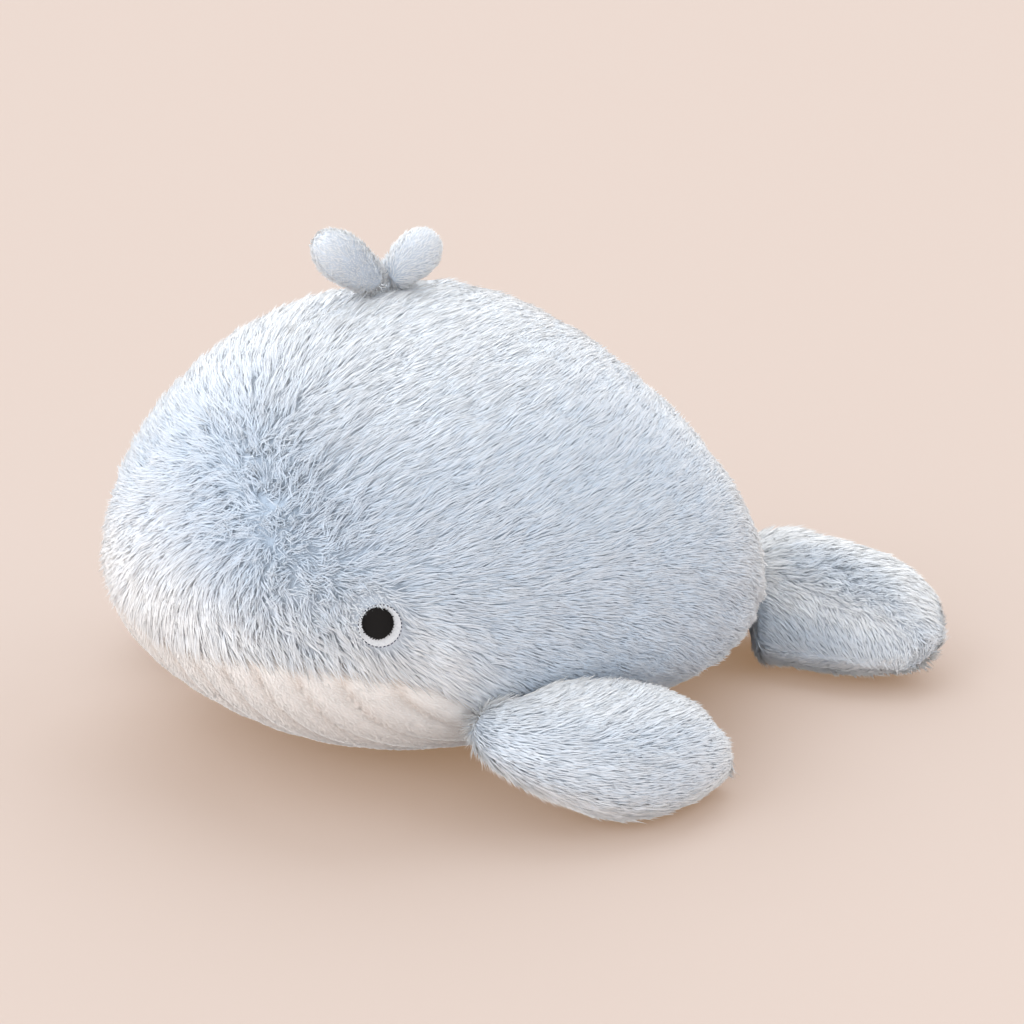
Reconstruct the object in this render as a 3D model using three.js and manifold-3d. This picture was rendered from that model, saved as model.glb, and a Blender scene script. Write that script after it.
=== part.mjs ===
// Plush whale: blue fur side panels over a pleated belly panel, round a stuffed body, with
// stuffed fins, tail flukes and a two-lobed spout sewn on, and appliqued eyes.
// Millimetres. +Z is up, the nose points to -Y and the whale's own left side is +X.
// The origin is on the floor, under the widest section of the body.

import * as THREE from 'three';
import { mergeVertices } from 'three/addons/utils/BufferGeometryUtils.js';
import Module from 'manifold-3d';

const wasm = await Module();
wasm.setup();

// Body sizes, over the tips of the pile
const bodyLength = 300;
const noseLength = 144;
const bodyWidth = 236;
const crownHeight = 189;
const noseHeight = 78;
const rumpHeight = 51;

// Cloth sizes: the cover is backing and pile together
const coverThickness = 7;
const seamGap = 0.3;
const floorCut = 0.5;

// Fullness of the body's outlines: 2 with 2 is an ellipse, and more is squarer
const nosePlanShares = [2.42, 2.55];
const rumpPlanShares = [3.16, 1.43];
const noseCrownShares = [2.34, 1.74];
const rumpCrownShares = [1.84, 1.15];
const bellyShares = [2.51, 2];
const upperRingShare = 1.92;
const lowerRingShare = 2.38;

// Belly panel: pleats of equal width round the girth, in degrees, their depth, and the height
// below which the whale's weight presses them flat
const pleatAngle = 9;
const pleatDepth = 2.4;
const pressedHeight = 15;
const pleatColumns = 4;
const bellyRows = 8;

// Border between blue and cream, seen from a point inside the body: bearings from the nose
// round to the tail, and the elevation of the border there, in degrees
const heartShares = [0.14, 1];
const borderDegrees = [
  [0, -6.2], [20, -4.4], [33, -3.7], [45, -4.8], [54, -7], [61, -10.4], [70, -18],
  [80, -27], [95, -37], [120, -45], [150, -48], [180, -48],
];
const borderSteps = 24;

// Eye: a felt disc with a stitched pupil, set into the pile
const eyeSeat = { alongShare: -0.69, aroundDegrees: 7 };
const eyeDiameter = 17.2;
const eyeThickness = 1.4;
const eyeProud = 0.6;
const eyeRimRadius = 0.5;
const pupilDiameter = 13.2;
const pupilThickness = 1;
const pupilShift = { forward: 0.9, up: 1.3 };

// Limbs sewn on at a narrow root: where the root sits on the body (share along, degrees round),
// and the limb's own sizes. Its span follows its middle line, which sets out square to the body
// and turns to its heading, in degrees from straight back towards the whale's side
const fin = {
  seat: { alongShare: -0.389, aroundDegrees: -24.9 },
  span: 109.8,
  width: 64.8,
  thickness: 47.9,
  rootRadius: 7,
  cover: 5.5,
  tipHeight: 11,
  floorCut: 0.9,
  headingDegrees: 4.3,
  sweepShare: 4.1,
  widestShare: 0.478,
  landingShare: 0.65,
  rollDegrees: 30.7,
  tipShare: 2.3,
  hingeAxisShares: [-0.26, -0.96, 0],
  swingDegrees: [-5, 40],
};
const fluke = {
  seat: { alongShare: 0.932, aroundDegrees: -50.1 },
  span: 107.5,
  width: 85.5,
  thickness: 44.6,
  rootRadius: 8,
  cover: 5.5,
  tipHeight: 15,
  floorCut: 0.6,
  headingDegrees: 87,
  sweepShare: 3.1,
  widestShare: 0.235,
  landingShare: 0.34,
  rollDegrees: 17,
  tipShare: 2.4,
  hingeAxisShares: [0.5, -0.866, 0],
  swingDegrees: [-5, 30],
};

// Spout lobes on the crown seam, straight along their span: leaning back from upright
const spoutFront = {
  seat: { alongShare: -0.236, aroundDegrees: 90 },
  leanDegrees: -52,
  span: 38,
  width: 21.5,
  thickness: 20,
  rootRadius: 5,
  cover: 2.5,
  hingeAxisShares: [1, 0, 0],
  swingDegrees: [-15, 15],
};
const spoutRear = {
  seat: { alongShare: -0.151, aroundDegrees: 90 },
  leanDegrees: 57,
  span: 29.5,
  width: 20.5,
  thickness: 19,
  rootRadius: 4.5,
  cover: 2.5,
  hingeAxisShares: [1, 0, 0],
  swingDegrees: [-15, 15],
};
const spoutWidestShare = 0.6;

// Facets
const bodyRows = 24;
const bodyColumns = 28;
const stuffingRows = 12;
const stuffingColumns = 16;
const limbRows = 10;
const limbColumns = 16;
const stuffingLimbRows = 7;
const stuffingLimbColumns = 12;
const spoutRows = 8;
const spoutColumns = 12;
const discSides = 20;
const rimSteps = 2;
const marchSteps = 240;
const swingSteps = 2;

// Workshop values with no shape of their own
const normalStepShare = 1e-3;
const rootStartShare = 0.05;
const overrun = 2 * bodyLength;

const { degToRad, lerp, clamp, smoothstep } = THREE.MathUtils;
const midHeight = (noseHeight + rumpHeight) / 2;

// Solids

function toSolid(geometry) {
  const bare = geometry.clone();
  bare.deleteAttribute('normal');
  bare.deleteAttribute('uv');
  const merged = mergeVertices(bare);
  return new wasm.Manifold(new wasm.Mesh({
    numProp: 3,
    vertProperties: merged.attributes.position.array,
    triVerts: new Uint32Array(merged.index.array),
  }));
}

function toGeometry(solid) {
  const mesh = solid.getMesh();
  const geometry = new THREE.BufferGeometry();
  geometry.setAttribute('position', new THREE.BufferAttribute(mesh.vertProperties, 3));
  geometry.setIndex(new THREE.BufferAttribute(mesh.triVerts, 1));
  return geometry;
}

// Signed volume of an indexed surface, positive when its faces point out
function signedVolume(points, index) {
  let volume = 0;
  for (let i = 0; i < index.length; i += 3) {
    const [a, b, c] = [points[index[i]], points[index[i + 1]], points[index[i + 2]]];
    volume += a.dot(new THREE.Vector3().crossVectors(b, c)) / 6;
  }
  return volume;
}

// A closed surface from a first point, rings of equal count, and a last point. The facets'
// diagonals alternate, so that the surface is its own mirror image
function closedLoft(first, rings, last) {
  const count = rings[0].length;
  const points = [first, ...rings.flat(), last];
  const lastIndex = points.length - 1;
  const at = (row, column) => 1 + row * count + (column % count);
  const index = [];
  for (let column = 0; column < count; column += 1) {
    index.push(0, at(0, column + 1), at(0, column));
    index.push(lastIndex, at(rings.length - 1, column), at(rings.length - 1, column + 1));
    for (let row = 0; row < rings.length - 1; row += 1) {
      const [a, b] = [at(row, column), at(row, column + 1)];
      const [c, d] = [at(row + 1, column), at(row + 1, column + 1)];
      const split = column % 2 === 0 ? [a, b, d, a, d, c] : [a, b, c, b, d, c];
      index.push(...split);
    }
  }
  if (signedVolume(points, index) < 0) {
    index.reverse();
  }
  const places = points.flatMap((point) => point.toArray());
  const geometry = new THREE.BufferGeometry();
  geometry.setAttribute('position', new THREE.Float32BufferAttribute(places, 3));
  geometry.setIndex(index);
  return geometry;
}

function mirrored(geometry) {
  const copy = geometry.clone();
  copy.scale(-1, 1, 1);
  copy.index.array.reverse();
  return copy;
}

// A block that fills one side of the plane at `offset` along `axis`
function halfSpace(axis, offset, side) {
  const block = new THREE.BoxGeometry(overrun, overrun, overrun);
  const centre = new THREE.Vector3();
  centre[axis] = offset + side * overrun / 2;
  block.translate(...centre.toArray());
  return toSolid(block);
}

const aboveFloor = halfSpace('z', 0, 1);

// Body surface

// A share between two others, with the steps drawn close at both ends
function spacedShare(row, rows, first, last) {
  return lerp(first, last, (1 - Math.cos(Math.PI * row / rows)) / 2);
}

function fullness(share, [inner, outer]) {
  return Math.max(1 - share ** inner, 0) ** (1 / outer);
}

// Sizes of the body's ring at a share along it, -1 at the nose and 1 at the rump
function bodyRing(along, inset) {
  const share = Math.min(Math.abs(along), 1);
  const front = along < 0;
  const middle = lerp(midHeight, front ? noseHeight : rumpHeight, share);
  const reach = (front ? noseLength : bodyLength - noseLength) - inset;
  return {
    y: along * reach,
    middle,
    halfWidth: (bodyWidth / 2 - inset) * fullness(share, front ? nosePlanShares : rumpPlanShares),
    rise: (crownHeight - midHeight - inset) * fullness(share, front ? noseCrownShares : rumpCrownShares),
    drop: (middle + floorCut - inset) * fullness(share, bellyShares),
  };
}

function bodyPoint(along, around, inset = 0) {
  const ring = bodyRing(along, inset);
  const [cosine, sine] = [Math.cos(around), Math.sin(around)];
  const power = sine > 0 ? upperRingShare : lowerRingShare;
  const reach = (Math.abs(cosine) ** power + Math.abs(sine) ** power) ** (-1 / power);
  const height = (sine > 0 ? ring.rise : ring.drop) * reach * sine;
  return new THREE.Vector3(ring.halfWidth * reach * cosine, ring.y, ring.middle + height);
}

function bodyNormal(along, around) {
  const step = normalStepShare;
  const lengthways = bodyPoint(along + step, around).sub(bodyPoint(along - step, around));
  const roundways = bodyPoint(along, around + step).sub(bodyPoint(along, around - step));
  return lengthways.cross(roundways).normalize();
}

function bodyGeometry(inset, rows, columns) {
  const rings = [];
  for (let row = 1; row < rows; row += 1) {
    const along = spacedShare(row, rows, -1, 1);
    const ring = [];
    for (let column = 0; column < columns; column += 1) {
      ring.push(bodyPoint(along, 2 * Math.PI * column / columns, inset));
    }
    rings.push(ring);
  }
  return closedLoft(bodyPoint(-1, 0, inset), rings, bodyPoint(1, 0, inset));
}

function bodySolid(inset, rows, columns) {
  return toSolid(bodyGeometry(inset, rows, columns));
}

// The point inside the body from which the border's bearings are taken
const heart = new THREE.Vector3(0, -heartShares[0] * noseLength, heartShares[1] * noseHeight);

// Everything below the border, as a cone of sight lines from the heart, moved by `gap`
function belowBorder(gap) {
  const places = borderDegrees.map(([bearing, rise]) => new THREE.Vector2(bearing, rise));
  const curve = new THREE.SplineCurve(places);
  const side = curve.getPoints(borderSteps);
  const other = side.slice(1, -1).reverse().map((p) => new THREE.Vector2(-p.x, p.y));
  const ring = [...side, ...other].map((p) => {
    const bearing = degToRad(p.x);
    const rise = degToRad(p.y) + gap / (bodyWidth / 2);
    const sight = new THREE.Vector3(
      Math.sin(bearing) * Math.cos(rise),
      -Math.cos(bearing) * Math.cos(rise),
      Math.sin(rise),
    );
    return sight.multiplyScalar(overrun).add(heart);
  });
  const below = heart.clone().setZ(heart.z - overrun);
  return toSolid(closedLoft(heart, [ring], below));
}

// Under half of the body, with puffy pleats that run lengthways between sewn creases
function pleatedSolid() {
  const columns = Math.round(180 / pleatAngle) * pleatColumns;
  const rings = [];
  for (let column = 1; column < columns; column += 1) {
    const turn = column / pleatColumns;
    const crease = Math.abs(2 * (turn - Math.floor(turn)) - 1);
    const depth = pleatDepth * (1 - Math.sqrt(1 - crease * crease));
    const across = -Math.cos(degToRad(turn * pleatAngle));
    rings.push(pleatRing(across, depth));
  }
  return toSolid(closedLoft(pleatEnd(-1), rings, pleatEnd(1)));
}

function pleatEnd(side) {
  return new THREE.Vector3(side * bodyWidth / 2, 0, midHeight);
}

// A loop at one share across the body: down the belly from end to end, and back along the middle
function pleatRing(across, depth) {
  const reachAlong = ([inner, outer]) => (1 - Math.abs(across) ** outer) ** (1 / inner);
  const [front, rear] = [-reachAlong(nosePlanShares), reachAlong(rumpPlanShares)];
  const x = across * bodyWidth / 2;
  const lower = [];
  const upper = [];
  for (let row = 0; row <= bellyRows; row += 1) {
    const along = spacedShare(row, bellyRows, front, rear);
    const ring = bodyRing(along, 0);
    const share = row === 0 || row === bellyRows ? 1 : Math.min(Math.abs(x) / ring.halfWidth, 1);
    const drop = ring.drop * (1 - share ** lowerRingShare) ** (1 / lowerRingShare);
    const point = new THREE.Vector3(x, ring.y, ring.middle - drop);
    const inward = heart.clone().sub(point).normalize();
    if (row > 0 && row < bellyRows) {
      upper.unshift(new THREE.Vector3(x, ring.y, ring.middle));
      point.addScaledVector(inward, depth * smoothstep(point.z, 0, pressedHeight));
    }
    lower.push(point);
  }
  return [...lower, ...upper];
}

// Limbs

// The middle of a limb's root, just clear of the body: its hinge passes through here
function rootCentre({ seat, rootRadius }) {
  const around = degToRad(seat.aroundDegrees);
  const normal = bodyNormal(seat.alongShare, around);
  return bodyPoint(seat.alongShare, around).addScaledVector(normal, rootRadius + seamGap);
}

// The space that the body takes up, grown by a clearance, as the limb meets it through its swing
function bodySeenFrom(limb, clearance, rows, columns) {
  const centre = rootCentre(limb);
  const axis = new THREE.Vector3(...limb.hingeAxisShares).normalize();
  const [low, high] = limb.swingDegrees;
  const body = bodyGeometry(-clearance, rows, columns);
  let space = toSolid(body);
  for (let step = 0; step <= swingSteps; step += 1) {
    const turn = new THREE.Matrix4().makeRotationAxis(axis, -degToRad(lerp(low, high, step / swingSteps)));
    const turned = body.clone().translate(...centre.clone().negate().toArray());
    turned.applyMatrix4(turn).translate(...centre.toArray());
    space = space.add(toSolid(turned));
  }
  return space;
}

// The way a limb points at a share of its length, as an angle from straight back to its side
function limbHeading(limb, share) {
  const normal = bodyNormal(limb.seat.alongShare, degToRad(limb.seat.aroundDegrees));
  const start = Math.atan2(normal.x, normal.y);
  return lerp(degToRad(limb.headingDegrees), start, (1 - share) ** limb.sweepShare);
}

// A limb's middle line in plan, in even steps, from the skin of its root to its tip
function limbPath(limb) {
  const position = rootCentre(limb);
  position.x -= limb.rootRadius * Math.sin(limbHeading(limb, 0));
  position.y -= limb.rootRadius * Math.cos(limbHeading(limb, 0));
  const path = [position.clone()];
  for (let step = 0; step < marchSteps; step += 1) {
    const angle = limbHeading(limb, (step + 1 / 2) / marchSteps);
    position.x += Math.sin(angle) * limb.span / marchSteps;
    position.y += Math.cos(angle) * limb.span / marchSteps;
    path.push(position.clone());
  }
  return path;
}

function pathPoint(path, share) {
  const place = share * (path.length - 1);
  const before = Math.floor(place);
  const after = Math.min(before + 1, path.length - 1);
  return path[before].clone().lerp(path[after], place - before);
}

// The height of a limb's middle line: down from the root to the floor, and on to the tip
function limbHeight(limb, share) {
  const widest = limbSizes(limb, limb.widestShare, 0).halfHeight;
  const landed = smoothstep(share, 0, limb.landingShare);
  const height = lerp(rootCentre(limb).z, widest - limb.floorCut, landed);
  const tapered = share > limb.widestShare ? 1 - limbSizes(limb, share, 0).halfHeight / widest : 0;
  return height - (widest - limb.tipHeight) * tapered;
}

// A limb as sections along its middle line: centre, the way across and the way through it
function limbSections(limb, inset, rows) {
  const path = limbPath(limb);
  const rootDepth = inset > 0 ? 2 * limb.rootRadius + inset : rootStartShare * limb.rootRadius;
  const sections = [];
  for (let row = 0; row <= rows; row += 1) {
    const share = spacedShare(row, rows, rootDepth / limb.span, 1 - inset / limb.span);
    const centre = pathPoint(path, share).setZ(limbHeight(limb, share));
    const sizes = limbSizes(limb, share, inset);
    const angle = limbHeading(limb, share);
    const sideways = new THREE.Vector3(Math.cos(angle), -Math.sin(angle), 0);
    const upright = new THREE.Vector3(0, 0, 1);
    const across = sideways.clone().multiplyScalar(-Math.cos(sizes.roll));
    across.addScaledVector(upright, Math.sin(sizes.roll));
    const through = sideways.multiplyScalar(Math.sin(sizes.roll));
    through.addScaledVector(upright, Math.cos(sizes.roll));
    sections.push({ centre, across, through, ...sizes });
  }
  return sections;
}

// Half sizes of a limb's section at a share of its length, and its roll
function limbSizes(limb, share, inset) {
  const swell = Math.sin(Math.PI / 2 * clamp(share / limb.widestShare, 0, 1));
  const past = clamp((share - limb.widestShare) / (1 - limb.widestShare), 0, 1);
  const taper = Math.sqrt(1 - past ** limb.tipShare);
  const nose = clamp(share * limb.span / limb.rootRadius, 0, 1);
  const round = Math.sqrt(1 - (1 - nose) ** 2);
  const outerWidth = lerp(limb.rootRadius, limb.width / 2, swell) * taper * round;
  const outerThickness = lerp(limb.rootRadius, limb.thickness / 2, swell) * taper * round;
  const roll = degToRad(limb.rollDegrees) * smoothstep(share, 0, limb.widestShare);
  const kept = 1 - inset / (limb.thickness / 2);
  return {
    roll,
    halfWidth: outerWidth - inset * Math.min(outerWidth / (limb.thickness / 2), 1),
    halfThickness: outerThickness * kept,
    halfHeight: Math.hypot(outerWidth * Math.sin(roll), outerThickness * Math.cos(roll)),
  };
}

// One half of a lobe, cut along the seam between its two panels (side 1 or -1)
function lobeHalf(sections, columns, side) {
  const lift = side * seamGap / 2;
  const rings = sections.map((section) => {
    const ring = [];
    for (let column = 0; column <= columns / 2; column += 1) {
      const angle = 2 * Math.PI * column / columns;
      const height = Math.max(section.halfThickness * Math.sin(angle), seamGap / 2);
      const point = section.centre.clone();
      point.addScaledVector(section.across, section.halfWidth * Math.cos(angle));
      ring.push(point.addScaledVector(section.through, side * height));
    }
    return ring;
  });
  const ends = [sections[0], sections.at(-1)].map((section) => (
    section.centre.clone().addScaledVector(section.through, lift)
  ));
  return toSolid(closedLoft(ends[0], rings.slice(0, -1), ends[1]));
}

function lobeWhole(sections, columns) {
  const rings = sections.map((section) => {
    const ring = [];
    for (let column = 0; column < columns; column += 1) {
      const angle = 2 * Math.PI * column / columns;
      const point = section.centre.clone();
      point.addScaledVector(section.across, section.halfWidth * Math.cos(angle));
      ring.push(point.addScaledVector(section.through, section.halfThickness * Math.sin(angle)));
    }
    return ring;
  });
  return toSolid(closedLoft(sections[0].centre, rings.slice(0, -1), sections.at(-1).centre));
}

// A spout lobe stands on the crown seam and leans along it; its panels part at the seam's plane
function spoutSections(lobe, inset, rows) {
  const lean = degToRad(lobe.leanDegrees);
  const forward = new THREE.Vector3(0, Math.sin(lean), Math.cos(lean));
  const start = rootCentre(lobe).addScaledVector(forward, -lobe.rootRadius);
  const across = new THREE.Vector3(0, Math.cos(lean), -Math.sin(lean));
  const through = new THREE.Vector3(1, 0, 0);
  const shape = { ...lobe, widestShare: spoutWidestShare, tipShare: 2, rollDegrees: 0 };
  const rootDepth = inset > 0 ? lobe.rootRadius + inset : rootStartShare * lobe.rootRadius;
  const sections = [];
  for (let row = 0; row <= rows; row += 1) {
    const share = spacedShare(row, rows, rootDepth / lobe.span, 1 - inset / lobe.span);
    const centre = start.clone().addScaledVector(forward, share * lobe.span);
    sections.push({ centre, across, through, ...limbSizes(shape, share, inset) });
  }
  return sections;
}

// Round trim

// A disc with a rounded outer edge, standing on its back at the origin
function discGeometry(diameter, thickness) {
  const profile = [new THREE.Vector2(0, 0), new THREE.Vector2(diameter / 2, 0)];
  for (let step = 0; step <= rimSteps; step += 1) {
    const angle = Math.PI / 2 * step / rimSteps;
    profile.push(new THREE.Vector2(
      diameter / 2 - eyeRimRadius * (1 - Math.cos(angle)),
      thickness - eyeRimRadius * (1 - Math.sin(angle)),
    ));
  }
  profile.push(new THREE.Vector2(0, thickness));
  return new THREE.LatheGeometry(profile, discSides);
}

// Turns a lathed piece so that its axis follows the body's normal at the eye
function placeAtEye(geometry, height, shift) {
  const around = degToRad(eyeSeat.aroundDegrees);
  const normal = bodyNormal(eyeSeat.alongShare, around);
  const side = new THREE.Vector3(0, 0, 1).cross(normal).normalize();
  const up = new THREE.Vector3().crossVectors(normal, side);
  const centre = bodyPoint(eyeSeat.alongShare, around).addScaledVector(normal, height);
  centre.addScaledVector(side, -shift.forward);
  centre.addScaledVector(up, shift.up);
  geometry.applyMatrix4(new THREE.Matrix4().makeBasis(side, normal, up.negate()));
  geometry.translate(...centre.toArray());
  return geometry;
}

// Materials and the assembly

const whale = new THREE.Group();

function addPiece(name, geometry, finish) {
  const mesh = new THREE.Mesh(geometry, new THREE.MeshStandardMaterial(finish));
  mesh.name = name;
  whale.add(mesh);
}

const blueFur = { color: '#bccad9', roughness: 0.95, metalness: 0 };
const creamPile = { color: '#e6ddd6', roughness: 0.95, metalness: 0 };
const spoutPile = { color: '#cfdcea', roughness: 0.9, metalness: 0 };
const stuffing = { color: '#f4f4f2', roughness: 1, metalness: 0 };
const paleFelt = { color: '#dfe2e4', roughness: 0.9, metalness: 0 };
const blackThread = { color: '#141416', roughness: 0.6, metalness: 0 };

function addBody() {
  const cavity = bodySolid(coverThickness, stuffingRows, stuffingColumns);
  const cover = bodySolid(0, bodyRows, bodyColumns).intersect(aboveFloor).subtract(cavity);
  const fur = cover.subtract(belowBorder(seamGap / 2));
  const pocketFloor = eyeProud - eyeThickness - seamGap;
  const pocket = new THREE.CylinderGeometry(
    eyeDiameter / 2 + seamGap,
    eyeDiameter / 2 + seamGap,
    coverThickness,
    discSides,
  );
  placeAtEye(pocket, pocketFloor + coverThickness / 2, { forward: 0, up: 0 });
  const left = fur.intersect(halfSpace('x', seamGap / 2, 1)).subtract(toSolid(pocket));
  addPiece('body_skin_left', toGeometry(left), blueFur);
  addPiece('body_skin_right', mirrored(toGeometry(left)), blueFur);
  const belly = pleatedSolid().intersect(aboveFloor).intersect(belowBorder(-seamGap / 2));
  addPiece('belly_panel', toGeometry(belly.subtract(cavity)), creamPile);
  const core = bodySolid(coverThickness + seamGap, stuffingRows, stuffingColumns);
  addPiece('body_filling', toGeometry(core), stuffing);
}

function addEyes() {
  const centred = { forward: 0, up: 0 };
  const disc = placeAtEye(discGeometry(eyeDiameter, eyeThickness), eyeProud - eyeThickness, centred);
  const pupil = placeAtEye(discGeometry(pupilDiameter, pupilThickness), eyeProud + seamGap, pupilShift);
  const pieces = { disc: [disc, paleFelt], pupil: [pupil, blackThread] };
  for (const [name, [geometry, finish]] of Object.entries(pieces)) {
    const solid = toGeometry(toSolid(geometry));
    addPiece(`eye_left_${name}`, solid, finish);
    addPiece(`eye_right_${name}`, mirrored(solid), finish);
  }
}

// The inside of a limb at a depth below its surface, clear of the body by that depth too
function limbStuffing(limb, depth) {
  const whole = lobeWhole(limbSections(limb, depth, stuffingLimbRows), stuffingLimbColumns);
  return whole.subtract(bodySeenFrom(limb, seamGap + depth, stuffingRows, stuffingColumns));
}

// Both limbs of a pair, each of a top and a bottom panel round its stuffing
function addLimbPair(name, limb) {
  const outer = limbSections(limb, 0, limbRows);
  const body = bodySeenFrom(limb, seamGap, bodyRows, bodyColumns);
  const cavity = limbStuffing(limb, limb.cover);
  const panels = { top: 1, bottom: -1 };
  for (const [panel, side] of Object.entries(panels)) {
    const half = lobeHalf(outer, limbColumns, side).subtract(cavity);
    const trimmed = toGeometry(half.intersect(aboveFloor).subtract(body));
    addPiece(`${name}_left_${panel}`, trimmed, blueFur);
    addPiece(`${name}_right_${panel}`, mirrored(trimmed), blueFur);
  }
  const filling = toGeometry(limbStuffing(limb, limb.cover + seamGap));
  addPiece(`${name}_left_filling`, filling, stuffing);
  addPiece(`${name}_right_filling`, mirrored(filling), stuffing);
}

function addSpoutLobe(name, lobe) {
  const outer = spoutSections(lobe, 0, spoutRows);
  const body = bodySeenFrom(lobe, seamGap, bodyRows, bodyColumns);
  const cavity = lobeWhole(spoutSections(lobe, lobe.cover, stuffingLimbRows), stuffingLimbColumns);
  const panels = { left: 1, right: -1 };
  for (const [panel, side] of Object.entries(panels)) {
    const half = lobeHalf(outer, spoutColumns, side).subtract(cavity);
    addPiece(`${name}_${panel}`, toGeometry(half.subtract(body)), spoutPile);
  }
  const core = spoutSections(lobe, lobe.cover + seamGap, stuffingLimbRows);
  addPiece(`${name}_filling`, toGeometry(lobeWhole(core, stuffingLimbColumns)), stuffing);
}

addBody();
addEyes();
addLimbPair('fin', fin);
addLimbPair('fluke', fluke);
addSpoutLobe('spout_front', spoutFront);
addSpoutLobe('spout_rear', spoutRear);

export default whale;
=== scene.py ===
"""Plush whale that lies on its belly: cloth, pile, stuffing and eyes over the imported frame.

Lengths are in metres and +Z is up. The nose points to -Y, and the whale's left side is +X.
"""

import logging
import math
from dataclasses import dataclass, field, replace
from enum import Enum

import bpy
import numpy as np
from mathutils import Matrix, Vector


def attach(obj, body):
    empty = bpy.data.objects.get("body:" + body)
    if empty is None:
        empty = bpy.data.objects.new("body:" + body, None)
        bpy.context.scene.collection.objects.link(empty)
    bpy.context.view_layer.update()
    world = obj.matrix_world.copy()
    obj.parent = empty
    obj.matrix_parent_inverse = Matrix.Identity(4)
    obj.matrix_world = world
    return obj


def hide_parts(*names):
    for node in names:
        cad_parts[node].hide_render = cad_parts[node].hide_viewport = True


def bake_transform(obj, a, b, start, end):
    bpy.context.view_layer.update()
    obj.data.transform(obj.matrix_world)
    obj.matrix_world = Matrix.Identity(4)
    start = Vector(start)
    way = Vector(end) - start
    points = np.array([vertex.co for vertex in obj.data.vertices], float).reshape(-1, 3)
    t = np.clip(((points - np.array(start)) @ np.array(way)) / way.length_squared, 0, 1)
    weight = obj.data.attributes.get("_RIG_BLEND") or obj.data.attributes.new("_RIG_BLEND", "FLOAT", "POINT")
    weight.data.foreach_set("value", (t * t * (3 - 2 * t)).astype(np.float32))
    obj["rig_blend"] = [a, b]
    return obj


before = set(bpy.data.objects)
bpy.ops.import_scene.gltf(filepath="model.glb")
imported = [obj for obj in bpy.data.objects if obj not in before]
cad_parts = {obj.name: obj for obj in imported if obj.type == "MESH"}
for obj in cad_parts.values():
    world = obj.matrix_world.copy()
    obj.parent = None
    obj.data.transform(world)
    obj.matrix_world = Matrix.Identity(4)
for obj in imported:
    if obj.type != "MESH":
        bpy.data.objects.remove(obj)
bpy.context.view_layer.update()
log = logging.getLogger("whale")
UP = np.array([0.0, 0.0, 1.0])
FLOOR_CLEARANCE = 0.0004
CLOTH_PLACE = 0.02
WORK_LAYERS = {"nap", "lift", "reach", "mess", "tone", "cover", "dye", "along", "skin", "UVMap"}


class Side(Enum):
    """The whale's own left and right."""

    LEFT = 1
    RIGHT = -1


class Panel(Enum):
    """The two panels of a limb."""

    TOP = 1
    BOTTOM = -1


# Small sums on arrays

def smooth(value: np.ndarray, low: float, high: float) -> np.ndarray:
    """Rise smoothly from 0 to 1.

    Args:
        value: Where to look.
        low: Value at and before which the result is 0.
        high: Value from which the result is 1.

    Returns:
        The eased shares, in the shape of value.
    """
    share = np.clip((np.asarray(value, float) - low) / (high - low), 0, 1)
    return share * share * (3 - 2 * share)


def unit(vectors: np.ndarray) -> np.ndarray:
    """Scale vectors to a length of 1.

    Args:
        vectors: Any array whose last axis holds x, y and z.

    Returns:
        The unit vectors, where a zero vector stays zero.
    """
    length = np.linalg.norm(vectors, axis=-1, keepdims=True)
    return vectors / np.maximum(length, 1e-12)


def along_cloth(vectors: np.ndarray, normals: np.ndarray) -> np.ndarray:
    """Lay directions flat on a surface.

    Args:
        vectors: Directions, one for each normal.
        normals: Unit normals of the surface.

    Returns:
        Unit directions in the surface.
    """
    return unit(vectors - normals * np.sum(vectors * normals, axis=-1, keepdims=True))


def spaced(count: int, first: float = 0.0, last: float = 1.0) -> np.ndarray:
    """Steps from first to last that draw close at both ends.

    Args:
        count: Number of steps.
        first: First value.
        last: Last value.

    Returns:
        An array of count + 1 values.
    """
    share = (1 - np.cos(np.pi * np.arange(count + 1) / count)) / 2
    return first + (last - first) * share


# Surfaces

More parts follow.
